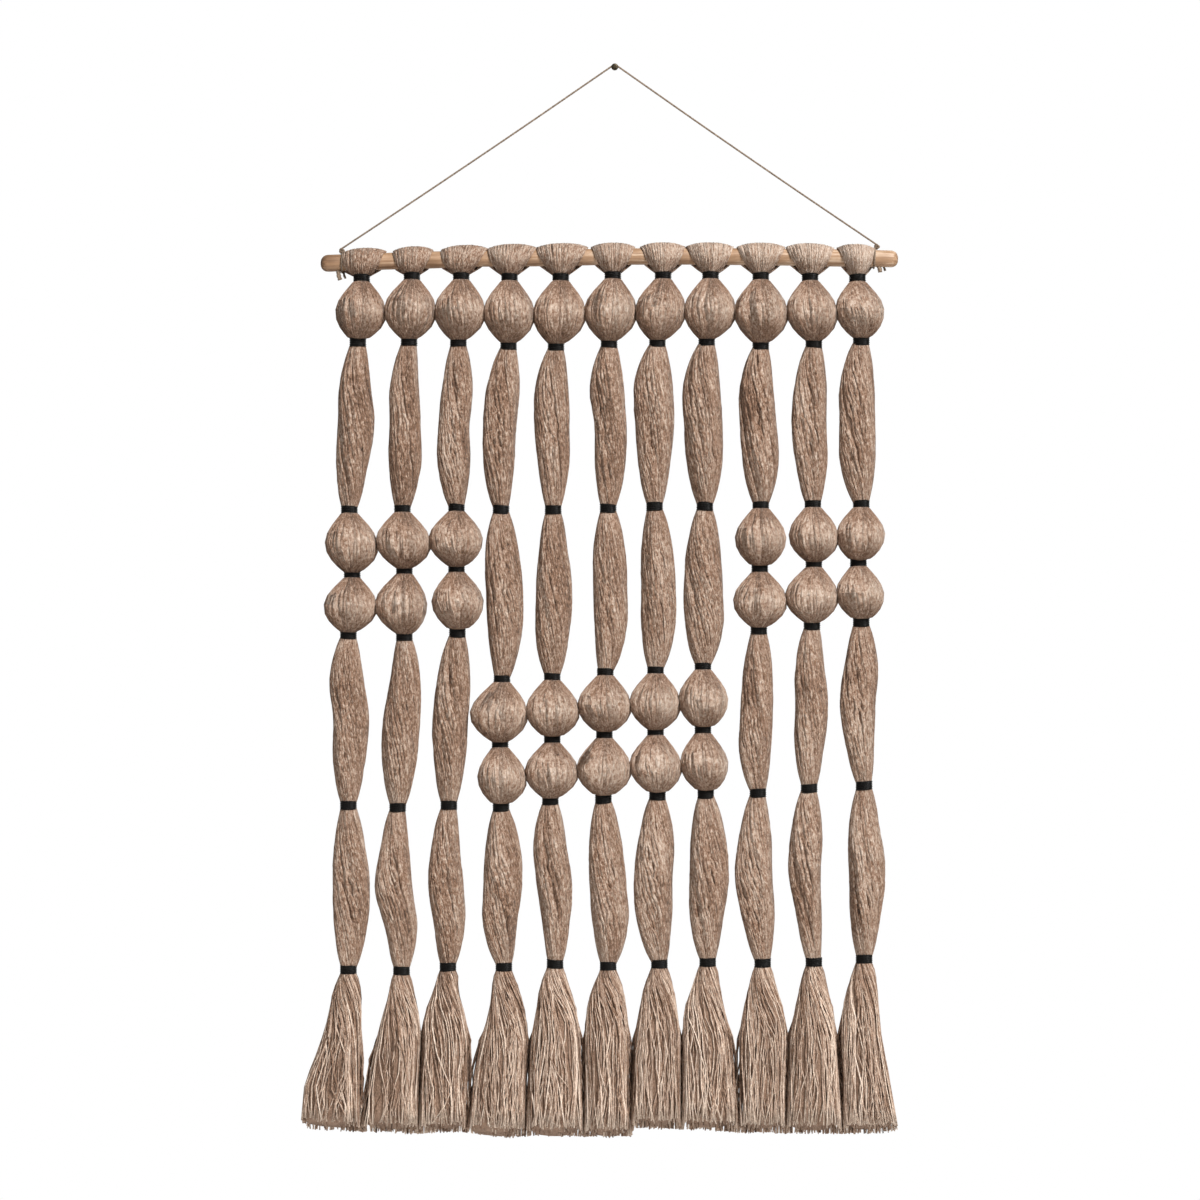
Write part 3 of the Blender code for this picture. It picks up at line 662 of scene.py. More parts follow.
def half_widths(length, below, t, edge):
    """Left, right and depth half widths at a share t of a length's height, and its middle's y.

    A ball: binding + swell (full half width - binding), with the waist inside its bindings.  A
    slack length: the curve through its table's widths + what it swells past them sqrt(sin(pi t)).
    """
    if isinstance(length, Ball):
        hidden = (t < edge) | (t > 1 - edge)
        left, right = (np.where(hidden, WAIST, BIND_RADIUS + swell(length, t, edge, fullness)
                                * (ball_side(length, below, way)[0] - BIND_RADIUS))
                       for way, fullness in ((-1, BALL_LEFT_FULLNESS), (1, BALL_RIGHT_FULLNESS)))
        middle = HANK_DEPTH - BALL_OUT * np.sin(np.pi * t)
        return left, right, np.minimum((left + right) / 2, -middle - CLEARANCE), middle
    sides = ((length.left_high, length.left_mid, length.left_low),
             (length.right_high, length.right_mid, length.right_low))
    left, right = (smooth_through((0, 0.25, 0.5, 0.75, 1), (WAIST, *side, WAIST), t)
                   + proud * np.sin(np.pi * t) ** 0.5
                   for side, proud in zip(sides, (LONG_PROUD_LEFT, LONG_PROUD_RIGHT)))
    return left, right, (left + right) / 2 * LONG_FLATNESS, np.full_like(t, HANK_DEPTH)


def on_length(length, below, edge, t, angle, inset):
    """Points on a length: middle + ((half width - inset) cos a, (depth - inset) sin a, 0).

    t is (stations,), and angle and inset spread with it to (strands, stations); the half width is
    the left one where cos a is negative and the right one elsewhere.  A ball is flat where it
    presses on the next one.
    """
    left, right, depth, middle_y = half_widths(length, below, t, edge)
    across = np.where(np.cos(angle) > 0, right, left) - inset
    aside = across * np.cos(angle)
    if isinstance(length, Ball):
        aside = np.clip(aside, FLAT_INSET * inset - ball_side(length, below, -1)[1],
                        ball_side(length, below, 1)[1] - FLAT_INSET * inset)
        aside = aside + lap(length, below, t, edge, angle)
    return points_of(length.x + (below.x - length.x) * t + aside,
                     middle_y + (depth - inset) * np.sin(angle),
                     length.z + (below.z - length.z) * t)


def parted(rng, count, locks, gather):
    """Even shares of a turn for strands, parted into locks that draw in by a share gather.

    Returns each strand's share of the turn, its lock and its place across the lock, -1 to 1.
    Locks differ by up to 0.28 of one at each border, and strands shift by up to 0.3 of a step.
    """
    bounds = np.arange(locks + 1) + np.append(rng.uniform(-0.28, 0.28, locks), 0)
    bounds[-1] = bounds[0] + locks
    bounds /= locks
    share = bounds[0] + (np.arange(count) + 0.5 + rng.uniform(-0.3, 0.3, count)) / count
    lock = np.clip(np.searchsorted(bounds, share, "right") - 1, 0, locks - 1)
    middle = (bounds[lock] + bounds[lock + 1]) / 2
    half = (bounds[lock + 1] - bounds[lock]) / 2
    across = (share - middle) / half
    return middle + (share - middle) * (1 - gather), lock, across


def length_strands(rng, length, below, yarn):
    """The strands of one ball or slack length, wound down it in locks with grooves between.

    angle = share of the turn + twist t + sway of the lock + the strand's own kinks; each strand
    is set in by its own depth, by the lock's sinking and, at the lock's borders, by the groove,
    which goes with the ninth power of the place across the lock.
    """
    ball = isinstance(length, Ball)
    lay = BALL_LAYING if ball else SLACK_LAYING
    count = yarn.ball_strands if ball else yarn.slack_strands
    size = (length.left + length.right) / 2 if ball else (length.left_mid + length.right_mid) / 2
    locks = rng.integers(lay.fewest_locks, lay.fewest_locks + 3)
    edge = BIND_HALF_HEIGHT / (length.z - below.z)
    inner = np.linspace(0, 1, lay.stations - 2)
    if ball:
        inner = (1 - np.cos(np.pi * inner)) / 2
    t = np.concatenate(((edge / 2,), edge + (1 - 2 * edge) * inner, (1 - edge / 2,)))
    free = swell(length, t, edge) * ((t > edge * 0.9) & (t < 1 - edge * 0.9))

    def lock_drift(bends, amount):
        """A drift that all strands of a lock share."""
        return drift(rng, locks, lay.stations, bends, amount)[lock]

    share, lock, across = parted(rng, count, locks, 0.02)
    twist = rng.normal(BALL_TWIST if ball else yarn.twist, lay.twist_spread)
    sway = lock_drift(3, lay.sway) * free
    own = drift(rng, count, lay.stations, lay.own_bends, 1.0)
    kinks = rng.normal(0, yarn.kink, own.shape)
    angle = TAU * share[:, None] + twist * t + sway + (own + kinks) * free / size
    sunk = np.abs(drift(rng, count, lay.stations, lay.sunk_bends, lay.sunk))
    sinking = np.maximum(lock_drift(3, lay.sinking), 0)
    groove = lay.groove * np.abs(across[:, None]) ** 9 * np.clip(lock_drift(4, 1.0), 0, 1.4)
    depth = (sunk + sinking + groove) * free
    radius = yarn.strand / 2 * (0.75 + lay.swelling * free) * rng.uniform(0.92, 1.08, (count, 1))
    paths = on_length(length, below, edge, t, angle, lay.inset * radius + depth)
    outward = points_of(np.cos(angle), np.sin(angle), 0)
    # Painted light: lower down and to the right the yarn is a little paler.
    # Painted shade: the deeper a strand lies, the darker it is.
    painted_light = 0.045 * fade(-length.z, 350, 750) + 0.02 * length.x / 300
    tone = (lay.tone + painted_light + rng.normal(0, yarn.variety * lay.plain, (count, 1)) - 0.1 * depth
            + rng.normal(0, yarn.mottle * lay.plain, own.shape) + lock_drift(3, lay.lock_tone))
    if ball:
        # Painted shade: dark by the bindings, at the lower left, and where it laps the next ball.
        tone = tone + np.interp(t, *zip(*BALL_SHADE))
        tone = tone - 0.16 * fade(t, 0.35, 0.55) * fade(-np.cos(angle), 0.4, 0.9)
        tone = tone - 0.2 * lap(length, below, t, edge, angle) * np.cos(angle) ** 8
    else:
        # Darker all over, and a little more to the right as painted shade.
        tone = tone - 0.13 - 0.04 * np.maximum(np.cos(angle), 0)
    return strand_tubes(rng, paths, radius, outward, tone, lay.loose)


def length_core(length, below):
    """The inside of a length, 1.5 to 2.2 mm beneath its surface: what shows between strands."""
    edge = BIND_HALF_HEIGHT / (length.z - below.z)
    t = np.linspace(1 - edge / 2, edge / 2, 15)
    deeper, tone = (0.5, 0.56) if isinstance(length, Ball) else (0.7, 0.5)
    inset = 1.5 + deeper * swell(length, t, edge)
    rings = on_length(length, below, edge, t, round_turn(16)[:, None], inset)
    return sleeve(rings.transpose(1, 0, 2), tone, INNER)


def neck_plug(bound):
    """The drawn-in yarn inside a binding, a plain cylinder a little longer than the binding."""
    angle = round_turn(12)
    ends = np.array(((-1,), (1,))) * (BIND_HALF_HEIGHT + NECK_BEYOND_BINDING)
    return sleeve(points_of(bound.x + NECK_RADIUS * np.cos(angle),
                            HANK_DEPTH + NECK_RADIUS * np.sin(angle), bound.z + ends), 0.4, INNER)


# ---------------------------------------------------------------- the rod and the loops over it

def rod_height(x):
    """Height of the rod's middle line at x: its slope, and a bow that falls off as a square."""
    return (ROD_CENTRE[2] + (x - ROD_CENTRE[0]) * np.tan(ROD_TILT)
            + ROD_BOW - ROD_BOW_FALL * (x - ROD_BOW_MIDDLE) ** 2)


def rod_surface(rng, length):
    """The stick: (x, middle y + r cos a, rod height + r sin a), about its bowed line.

    r = ROD_SEEN_RADIUS - ROD_SEEN_ROUNDING (1 - sin b) at ROD_SEEN_ROUNDING (1 - cos b) from
    either end, b up to a right angle, plus a wobble that makes soft flats along it: a quarter as
    many drifts as sides, each eased into the next.
    """
    half = length / 2 / np.cos(ROD_TILT)
    rim = np.linspace(0, np.pi / 2, 6)
    start = -half + ROD_SEEN_ROUNDING * (1 - np.cos(rim))
    inner = np.linspace(start[-1], -start[-1], 70)[1:-1]
    along = np.concatenate((start, inner, -start[::-1]))
    drawn_in = np.concatenate((1 - np.sin(rim), np.zeros(len(inner)), 1 - np.sin(rim)[::-1]))
    around = 40
    wobble = drift(rng, around // 4, len(along), 14, 0.25)[np.arange(around) // 4].T
    wobble = (wobble + np.roll(wobble, 2, axis=1)) / 2
    r = ROD_SEEN_RADIUS - ROD_SEEN_ROUNDING * drawn_in[:, None] + np.clip(wobble, -0.4, 0.4)
    angle = round_turn(around)
    x = ROD_CENTRE[0] + along[:, None] * np.cos(ROD_TILT)
    rings = points_of(x, ROD_CENTRE[1] + r * np.cos(angle), rod_height(x) + r * np.sin(angle))
    places, tones = zip(*((end * (half - inwards), tone) for end, inwards, tone in ROD_TONES))
    return sleeve(rings, np.interp(along, places, tones))


def loop_path(hank, side, layer, q):
    """A strand over the rod: side is -1 to 1 across the loop, layer 0 to 1 through it.

    q runs from -1 (in the binding, front) over 0 (on top of the rod) to 1 (in the binding, rear).
    Up to |q| = LOOP_ROUND the strand goes round the rod at a radius of rod + 1 + LOOP_THICKNESS
    (1 - |side| ^ 2.6) layer; from there it is drawn to its place in the binding, on a half ring
    for the front leg and on the other half for the rear leg.  The loop is a fan: its half width
    is 1.04 on top, less 0.31 down ^ 1.5 in front and 0.08 down ^ 2 behind.
    """
    bound = hank.lengths[0]
    middle = (hank.loop_left + hank.loop_right) / 2
    crotch = bound.z + BIND_HALF_HEIGHT
    turn = np.pi - np.arccos(LOOP_INNER / (rod_height(middle) - crotch))
    angle = np.clip(q / LOOP_ROUND, -1, 1) * turn
    down = np.abs(angle) / turn
    dome = 1 - np.abs(side) ** 2.6
    radius = ROD_SEEN_RADIUS + 1 + LOOP_THICKNESS * dome * layer
    width = (hank.loop_right - hank.loop_left) / 2 - 1
    width = width * (1.04 - np.where(q < 0, 0.31 * down ** 1.5, 0.08 * down ** 2))
    x = middle + (bound.x - middle) * down + side * width
    path = points_of(x, ROD_CENTRE[1] + radius * np.sin(angle),
                     rod_height(x) + radius * np.cos(angle))
    spread = np.pi / 2 * side
    reach = 2.5 + 4 * layer
    home = points_of(bound.x + reach * np.sin(spread),
                     HANK_DEPTH + np.sign(q) * reach * np.cos(spread), crotch - 2.5)
    share = fade(np.abs(q), LOOP_ROUND, 1)
    held = np.sin(np.pi * share ** 1.3)
    aside = (path[..., 0] - home[..., 0]) * 0.05 * held
    outwards = np.sign(q) * 1.8 * layer * held
    return path + (home - path) * share[..., None] + points_of(aside, -outwards, 0)


def loop_strands(rng, hank, yarn):
    """The strands that are folded over the rod: a fan that narrows to the first binding."""
    stations = 17
    side = np.concatenate([np.linspace(-1, 1, n) * reach for n, reach, _ in LOOP_LAYERS])
    layer = np.concatenate([np.full(n, height) for n, _, height in LOOP_LAYERS])[:, None]
    count = len(side)
    side = np.clip(side + rng.normal(0, 0.012, count), -0.995, 0.995)[:, None]
    layer = layer * rng.uniform(0.94, 1.0, (count, 1))
    q = np.linspace(-1, 1, stations)
    side = side + drift(rng, count, stations, 6, 0.026) * (1 - np.abs(q) ** 4)
    side = np.clip(side, -0.995, 0.995)
    paths = loop_path(hank, side, layer, q)
    # Strands face away from a line inside the rod, and only a little to the sides.
    outward = paths - (0, ROD_CENTRE[1], ROD_CENTRE[2] - 5)
    outward[..., 0] = (paths[..., 0] - hank.lengths[0].x) * 0.2
    radius = yarn.strand / 2 * (1.3 - 0.5 * np.abs(q) ** 3) * (1 + 0.35 * side ** 4)
    radius = radius * rng.uniform(0.93, 1.07, (count, 1))
    # Painted light to the right; painted shade on the inner layers and down the legs to the
    # binding.
    tone = (0.48 + 0.1 * (hank.loop_left + hank.loop_right) / 540
            + rng.normal(0, yarn.variety * 0.6, (count, 1)) - 0.25 * (1 - layer)
            + rng.normal(0, yarn.mottle * 0.45, (count, stations))
            - 0.1 * fade(np.abs(q), 0.45, 0.95))
    return strand_tubes(rng, paths, radius, unit(outward), tone, 0.12)


def loop_core(hank):
    """The inner part of a loop as one flat band, from binding to binding over the rod."""
    angle = round_turn(10)
    q = np.linspace(-0.98, 0.98, 17)[:, None]
    return sleeve(loop_path(hank, 0.86 * np.cos(angle), 0.3 + 0.3 * np.sin(angle), q), 0.4, INNER)


# ---------------------------------------------------------------- tassels

def tassel_half_widths(tassel, drop, angle):
    """Half width towards an angle, and half depth, of a tassel at a drop below its binding.

    Straight lines between the widths of its table; the depth grows evenly to the hem's over
    the upper 1 / 2.2 of the height, and is never more than the half width.
    """
    height = tassel.z - tassel.hem_z
    sides = TASSEL_SIDES[[hank.lengths[-1] for hank in HANKS].index(tassel)]
    hems = (tassel.x - tassel.hem_left, tassel.hem_right - tassel.x)
    left, right = (np.interp(drop, (*TASSEL_DROPS, height), (*TASSEL_HEAD, *side, hem))
                   for side, hem in zip(sides, hems))
    deep = TASSEL_HEAD_DEPTH + (HEM_HALF_DEPTH - TASSEL_HEAD_DEPTH) * fade(drop, 0, height / 2.2)
    return np.where(np.cos(angle) > 0, right, left), np.minimum((left + right) / 2, deep)


def tassel_points(tassel, drop, angle, ring, inset):
    """Points of a tassel: its middle + ((width ring - inset) cos a, (depth ring - inset) sin a).

    The middle hangs a drop below the binding and moves out from the wall on the way down.
    """
    wide, deep = tassel_half_widths(tassel, drop, angle)
    middle_y = HANK_DEPTH + (HEM_DEPTH - HANK_DEPTH) * drop / (tassel.z - tassel.hem_z)
    return points_of(tassel.x + (wide * ring - inset) * np.cos(angle),
                     middle_y + (deep * ring - inset) * np.sin(angle), tassel.z - drop)


def tassel_strands(rng, tassel, yarn):
    """Cut yarns from the binding to the hem: an outer coat, then a filling, and a few strays.

    Each turns about the tassel on the way down, the most near the top, and ends on the hem line
    if it comes out behind, and higher up, with a tip that is paler, partly painted light, if it
    comes out in front.  Between two tassels the front is a little narrower than the rear, so that
    a dark gap shows there, deepened by painted shade.
    """
    coat, within = yarn.tassel_strands, TASSEL_FILLING + TASSEL_STRAYS
    count, stations = coat + within, len(TASSEL_STEPS)
    share, lock, across = parted(rng, coat, TASSEL_LOCKS, 0.12)
    share = np.concatenate((share, rng.random(TASSEL_FILLING),
                            rng.uniform(0.4, 0.7, TASSEL_STRAYS)))[:, None]
    lock = np.concatenate((lock, rng.integers(0, TASSEL_LOCKS, within)))
    across = np.concatenate((across, np.zeros(within)))[:, None]
    ring = np.concatenate((np.ones(coat), np.sqrt(rng.uniform(0.05, 0.72, TASSEL_FILLING)),
                           np.full(TASSEL_STRAYS, 1.03)))[:, None]
    # Where each strand comes out at the hem, and how long it is for that.
    whole_turn = rng.normal(1.45, 0.4, (count, 1))
    late_turn = rng.normal(0, 0.18, (count, 1)) + rng.normal(0, 0.14, (TASSEL_LOCKS, 1))[lock]
    end = TAU * share + whole_turn + late_turn
    behind = np.sin(end) * ring
    rear = fade(behind, -0.65, 0.35)
    hem_x = tassel_points(tassel, tassel.z - tassel.hem_z, end, ring, 0)[..., 0]
    own = tassel.z - np.interp(hem_x, *zip(*HEM_LINE))
    own = own - 10.5 + 13.8 * rear + rng.normal(0, 1, (count, 1)) * (1.1 - 0.9 * rear)
    # Its way down.
    steps = np.array(TASSEL_STEPS)
    drop = steps * own
    free = fade(drop, BIND_HALF_HEIGHT, BIND_HALF_HEIGHT + 40)
    turned = fade(steps, 0, 0.5)
    turn = turned * (2 - turned) * whole_turn + fade(steps, 0.375, 1) * late_turn
    sway = drift(rng, TASSEL_LOCKS, stations, 3, 0.06)[lock] * free
    stray = np.where(ring > 1, 2.2, 1)
    kinks = (drift(rng, count, stations, 6, 1.9) * stray
             + rng.normal(0, 1.6 * yarn.kink, (count, stations)))
    angle = TAU * share + turn + sway + kinks * free / 20
    sunk = np.abs(rng.normal(0, 1.0, (count, 1))) + 2.0 * np.abs(across) ** 5
    radius = yarn.strand / 2 * (0.65 + 0.15 * free) * rng.uniform(0.7, 1.25, (count, 1))
    # The gap between two tassels, in front; the first and the last tassel have none outside.
    first, last = (tassel is HANKS[end].lengths[-1] for end in (0, -1))
    outermost = np.where(np.cos(angle) > 0, last, first)
    beside = np.abs(np.cos(angle)) * (ring > 0.9) * ~outermost
    low = fade(drop, 60, 90) * (1 - 0.6 * fade(drop, 130, 160))
    gap = beside ** 4 * np.where(np.sin(angle) < 0.1, 0.8 * low, -3.8 * fade(drop, 60, 90))
    path = tassel_points(tassel, drop, angle, ring, radius + sunk * free + gap)
    outward = points_of(np.cos(angle), np.sin(angle), 0)
    # Cut ends lighter, the front ones the most, partly their own paler colour and partly painted
    # light; painted shade inside, deep in the coat, behind, by the binding and in the gap; painted
    # light to the right and over the lower half.
    tone = (0.625 + 0.02 * tassel.x / 300 + rng.normal(0, yarn.variety * 3.2, (count, 1))
            + rng.normal(0, yarn.mottle * 1.5, (count, stations))
            - 0.09 * sunk - 0.25 * (ring < 0.9) - 0.12 * fade(behind, 0, 1)
            + 0.2 * fade(drop - own, -20, -6) * (rear < 0.5)
            + 0.1 * fade(drop - own, -14, -8) * (rear > 0.5)
            - 0.11 * fade(-drop, -80, -30) - 0.35 * fade(beside, 0.88, 0.98) * low
            + 0.04 * fade(steps, 0.5, 1))
    return strand_tubes(rng, path, radius, outward, tone)


def tassel_core(tassel):
    """The inside of a tassel, 1.4 mm beneath its coat at the top and 5.7 mm near the hem.

    Its rear reaches lower than its front and shows as a dull edge at the hem.
    """
    angle = round_turn(14)
    share = np.linspace(1, 0, 14)[:, None]
    drop = 2 + (tassel.z - tassel.hem_z - 7 + 9 * np.sin(angle)) * share
    inset = 1.4 + 1.8 * fade(drop, 0, 40) + 2.5 * fade(drop, 130, 170)
    # Painted light: the lowest rings, which show at the hem, are lighter.
    tone = 0.45 + 0.17 * fade(share, 12 / 14, 13 / 14)
    return sleeve(tassel_points(tassel, drop, angle, 1.0, inset), tone, INNER)


# ---------------------------------------------------------------- bindings

def binding_surface(rng, bound, cord):
    """Turns of cord side by side: a ring whose outer side is |sin| ^ 0.7 ridges, one a turn.

    The ring is a little tilted and wavy, and each turn stands out by its own small amount.
    """
    steps = 3
    place = np.linspace(0, cord.turns, cord.turns * steps + 1)
    out = BIND_RADIUS - CORD_RELIEF * (1 - np.abs(np.sin(np.pi * place)) ** 0.7)
    out[0] = out[-1] = BIND_RADIUS - CORD_RIM
    turn = np.minimum(place.astype(int), cord.turns - 1)
    out = out + rng.normal(0, 0.1, cord.turns)[turn] * 0.5
    inner_height = BIND_HALF_HEIGHT - CORD_RIM
    r = np.concatenate((out, (BIND_INNER, BIND_INNER)))
    z = np.concatenate((BIND_HALF_HEIGHT * (1 - 2 * place / cord.turns),
                        (-inner_height, inner_height)))
    angle = round_turn(20)[:, None]
    lean = rng.normal(0, 0.035, 2)
    slip = 0.16 * np.sin(angle + rng.random() * TAU) * (r > BIND_INNER)
    z = z + slip + r * (lean[0] * np.cos(angle) + lean[1] * np.sin(angle))
    rings = points_of(bound.x + r * np.cos(angle), HANK_DEPTH + r * np.sin(angle), bound.z + z)
    return sleeve(rings, 0.5, closed=True)


# ---------------------------------------------------------------- twine

def knot_lump(knot):
    """The middle of a knot, on top of the rod and in front of it."""
    return np.array((knot.lump_x, ROD_CENTRE[1], knot.lump_z))


def twine_leg(knot):
    """Route points of one leg, from the knot's lump up to where the twine meets the nail."""
    lump = knot_lump(knot)
    over = np.array((0, TWINE_DEPTH, 0))
    slope = np.arctan2(over[2] - lump[2], abs(lump[0]))
    side = np.copysign(1.0, lump[0])
    contact = over + TWINE_OVER_NAIL * np.array((side * np.sin(slope), 0, np.cos(slope)))
    start = lump + unit(contact - lump) * (knot.lump_radius + CLEARANCE)
    sag = np.array((0, 0, -TWINE_SAG))
    return [start, start + (contact - start) / 3 + sag, start + (contact - start) * 2 / 3 + sag,
            start + (contact - start) * TWINE_NEAR_NAIL, contact]


def curve_through(points, steps):
    """Points of a smooth curve through a route's own points (centripetal Catmull-Rom).

    Knots k lie the root of each distance apart, and a point at t is mixed in three rounds from
    four points: first + (second - first) (t - k) / (next k - k).
    """
    points = np.asarray(points, float)
    padded = np.concatenate(([2 * points[0] - points[1]], points, [2 * points[-1] - points[-2]]))
    result = []
    for start in range(len(points) - 1):
        p = padded[start:start + 4]
        gaps = np.sqrt(np.linalg.norm(np.diff(p, axis=0), axis=1))
        k = np.cumsum((0, *gaps))
        t = np.linspace(k[1], k[2], steps, endpoint=False)[:, None]

        def mixed(first, second, low, high):
            """A point between two that belong to the knots low and high."""
            return first + (second - first) * (t - k[low]) / (k[high] - k[low])

        a = [mixed(p[i], p[i + 1], i, i + 1) for i in range(3)]
        result.append(mixed(mixed(a[0], a[1], 0, 2), mixed(a[1], a[2], 1, 3), 1, 2))
    return np.concatenate((*result, points[-1:]))


def even(points, step):
    """The same line with its points about a step apart."""
    length = distance_along(points)
    places = np.linspace(0, length[-1], max(int(length[-1] / step), 3) + 1)
    return np.stack([np.interp(places, length, points[:, axis]) for axis in range(3)], axis=-1)


def twisted_cord(path, radius, across, lay=TWINE_LAY, sides=10, closed=False, tone=0.45):
    """A cord of two plies: r(a) = radius (0.78 + 0.22 |cos(a - 2 pi s / lay)|) about its path.

    across is a direction that the path never takes; a closed path has a whole number of lays.
    """
    along = distance_along(path)
    travel = np.gradient(path, axis=0)
    if closed:
        travel = np.roll(path, -1, axis=0) - np.roll(path, 1, axis=0)
        whole = along[-1] + np.linalg.norm(path[0] - path[-1])
        lay = whole / max(round(whole / lay), 1)
    travel = unit(travel)
    normal = unit(np.cross(travel, across))
    side = np.cross(travel, normal)
    angle = round_turn(sides)
    r = radius * (0.78 + 0.22 * np.abs(np.cos(angle - TAU * along[:, None] / lay)))
    rings = (path[:, None] + r[..., None] * (np.cos(angle)[None, :, None] * normal[:, None]
                                             + np.sin(angle)[None, :, None] * side[:, None]))
    return sleeve(rings, tone, closed=closed)


def tie_surfaces(knot, radius):
    """Twine at one end of the rod: a turn round it by the loop, a knot on top, and its two tails.

    The knot is a trefoil, ((2 + cos 3a) cos 2a, 1.1 sin 3a, (2 + cos 3a) sin 2a), scaled to its
    size.  The twine leaves its middle for the nail.
    """
    tie = TIES[knot.name]
    hoop = ROD_SEEN_RADIUS + CLEARANCE + TURN_RADIUS
    angle = round_turn(48)
    turn = points_of(tie.turn_x + 0.4 * np.sin(angle), ROD_CENTRE[1] + hoop * np.cos(angle),
                     rod_height(tie.turn_x) + hoop * np.sin(angle))
    angle = round_turn(60)
    wide = 2 + np.cos(3 * angle)
    trefoil = points_of(wide * np.cos(2 * angle), 1.1 * np.sin(3 * angle), wide * np.sin(2 * angle))
    lump = knot_lump(knot) + tie.slip + (knot.lump_radius - radius) / 3 * trefoil
    made = [twisted_cord(turn, radius, (1, 0, 0), closed=True, tone=tie.turn_tone),
            twisted_cord(lump, radius, (0.2, 1, 0.1), closed=True)]
    for tail in TAILS:
        route = knot.tail + np.array((tail.aside, tail.behind, 0))
        route[-1, 2] += tail.shorter
        made.append(twisted_cord(even(curve_through(route, 6), 0.8), tail.thick * radius,
                                 (0, 1, 0), lay=TAIL_LAY, tone=tail.tone))
    leg = np.linspace(knot_lump(knot), twine_leg(knot)[0], 6)
    return [*made, twisted_cord(leg, radius, (0, 1, 0))]


# ---------------------------------------------------------------- settings

class HangingYarn(bpy.types.PropertyGroup):
    """Sizes and looks of the jute yarn."""

    strand: bpy.props.FloatProperty(
        name="Strand", description="Thickness of one strand, in millimetres", default=2.1,
        min=0.5, max=6)
    ball_strands: bpy.props.IntProperty(
        name="Strands round a ball", description="Strands that show round one ball", default=84,
        min=12, max=200)
    slack_strands: bpy.props.IntProperty(
        name="Strands round a length", description="Strands that show round one slack length",
        default=72, min=12, max=200)
    tassel_strands: bpy.props.IntProperty(
        name="Strands round a tassel", description="Yarns in the coat of one tassel", default=150,
        min=12, max=300)
    kink: bpy.props.FloatProperty(
        name="Kink", description="How far a kink throws a strand, in millimetres", default=0.55,
        min=0, max=3)
    twist: bpy.props.FloatProperty(
        name="Twist", description="How far a slack length turns on its way down", default=1.8,
        subtype="ANGLE")
    variety: bpy.props.FloatProperty(
        name="Variety", description="How much strands differ in lightness", default=0.05, min=0,
        max=1, subtype="FACTOR")
    mottle: bpy.props.FloatProperty(
        name="Mottle", description="How much a strand's lightness changes along it", default=0.06,
        min=0, max=1, subtype="FACTOR")
    sheen: bpy.props.FloatProperty(
        name="Sheen", description="Pale glow of loose fibres on the yarn", default=0.1, min=0,
        max=1, subtype="FACTOR")
    seed: bpy.props.IntProperty(
        name="Seed", description="Number that the order of the strands starts from", default=11)


class HangingCord(bpy.types.PropertyGroup):
    """Sizes of the black bindings."""

    turns: bpy.props.IntProperty(
        name="Turns", description="Turns of cord in one binding", default=5, min=2, max=9)


class HangingRod(bpy.types.PropertyGroup):
    """Sizes of the wooden rod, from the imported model."""

    length: bpy.props.FloatProperty(
        name="Length", description="Length of the rod", unit="LENGTH",
        default=round(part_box("rod")[1][0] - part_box("rod")[0][0], 4))


class HangingTwine(bpy.types.PropertyGroup):
    """Sizes of the twine that the rod hangs from."""

    thickness: bpy.props.FloatProperty(
        name="Thickness", description="Thickness of the twine", default=0.002, unit="LENGTH")


class HangingStage(bpy.types.PropertyGroup):
    """The camera, the lights and the floor."""

    distance: bpy.props.FloatProperty(
        name="Camera distance", description="From the camera to the hanging", default=3.4,
        unit="LENGTH")
    frame: bpy.props.FloatProperty(
        name="Frame", description="Width of what the camera sees at the hanging", default=1.266,
        unit="LENGTH")
    key: bpy.props.FloatProperty(
        name="Key light", description="Power of the light from the upper right", default=1170,
        unit="POWER")
    fill: bpy.props.FloatProperty(
        name="Fill light", description="Power of the light from the left", default=7,
        unit="POWER")
    rear: bpy.props.FloatProperty(
        name="Rear light", description="Power of the light behind the hanging", default=45,
        unit="POWER")
    surround: bpy.props.FloatProperty(
        name="Surround", description="Brightness of the white studio round the hanging",
        default=0.32)


GROUPS = {"hanging_yarn": HangingYarn, "hanging_cord": HangingCord, "hanging_rod": HangingRod,
          "hanging_twine": HangingTwine, "hanging_stage": HangingStage}


# ---------------------------------------------------------------- operators

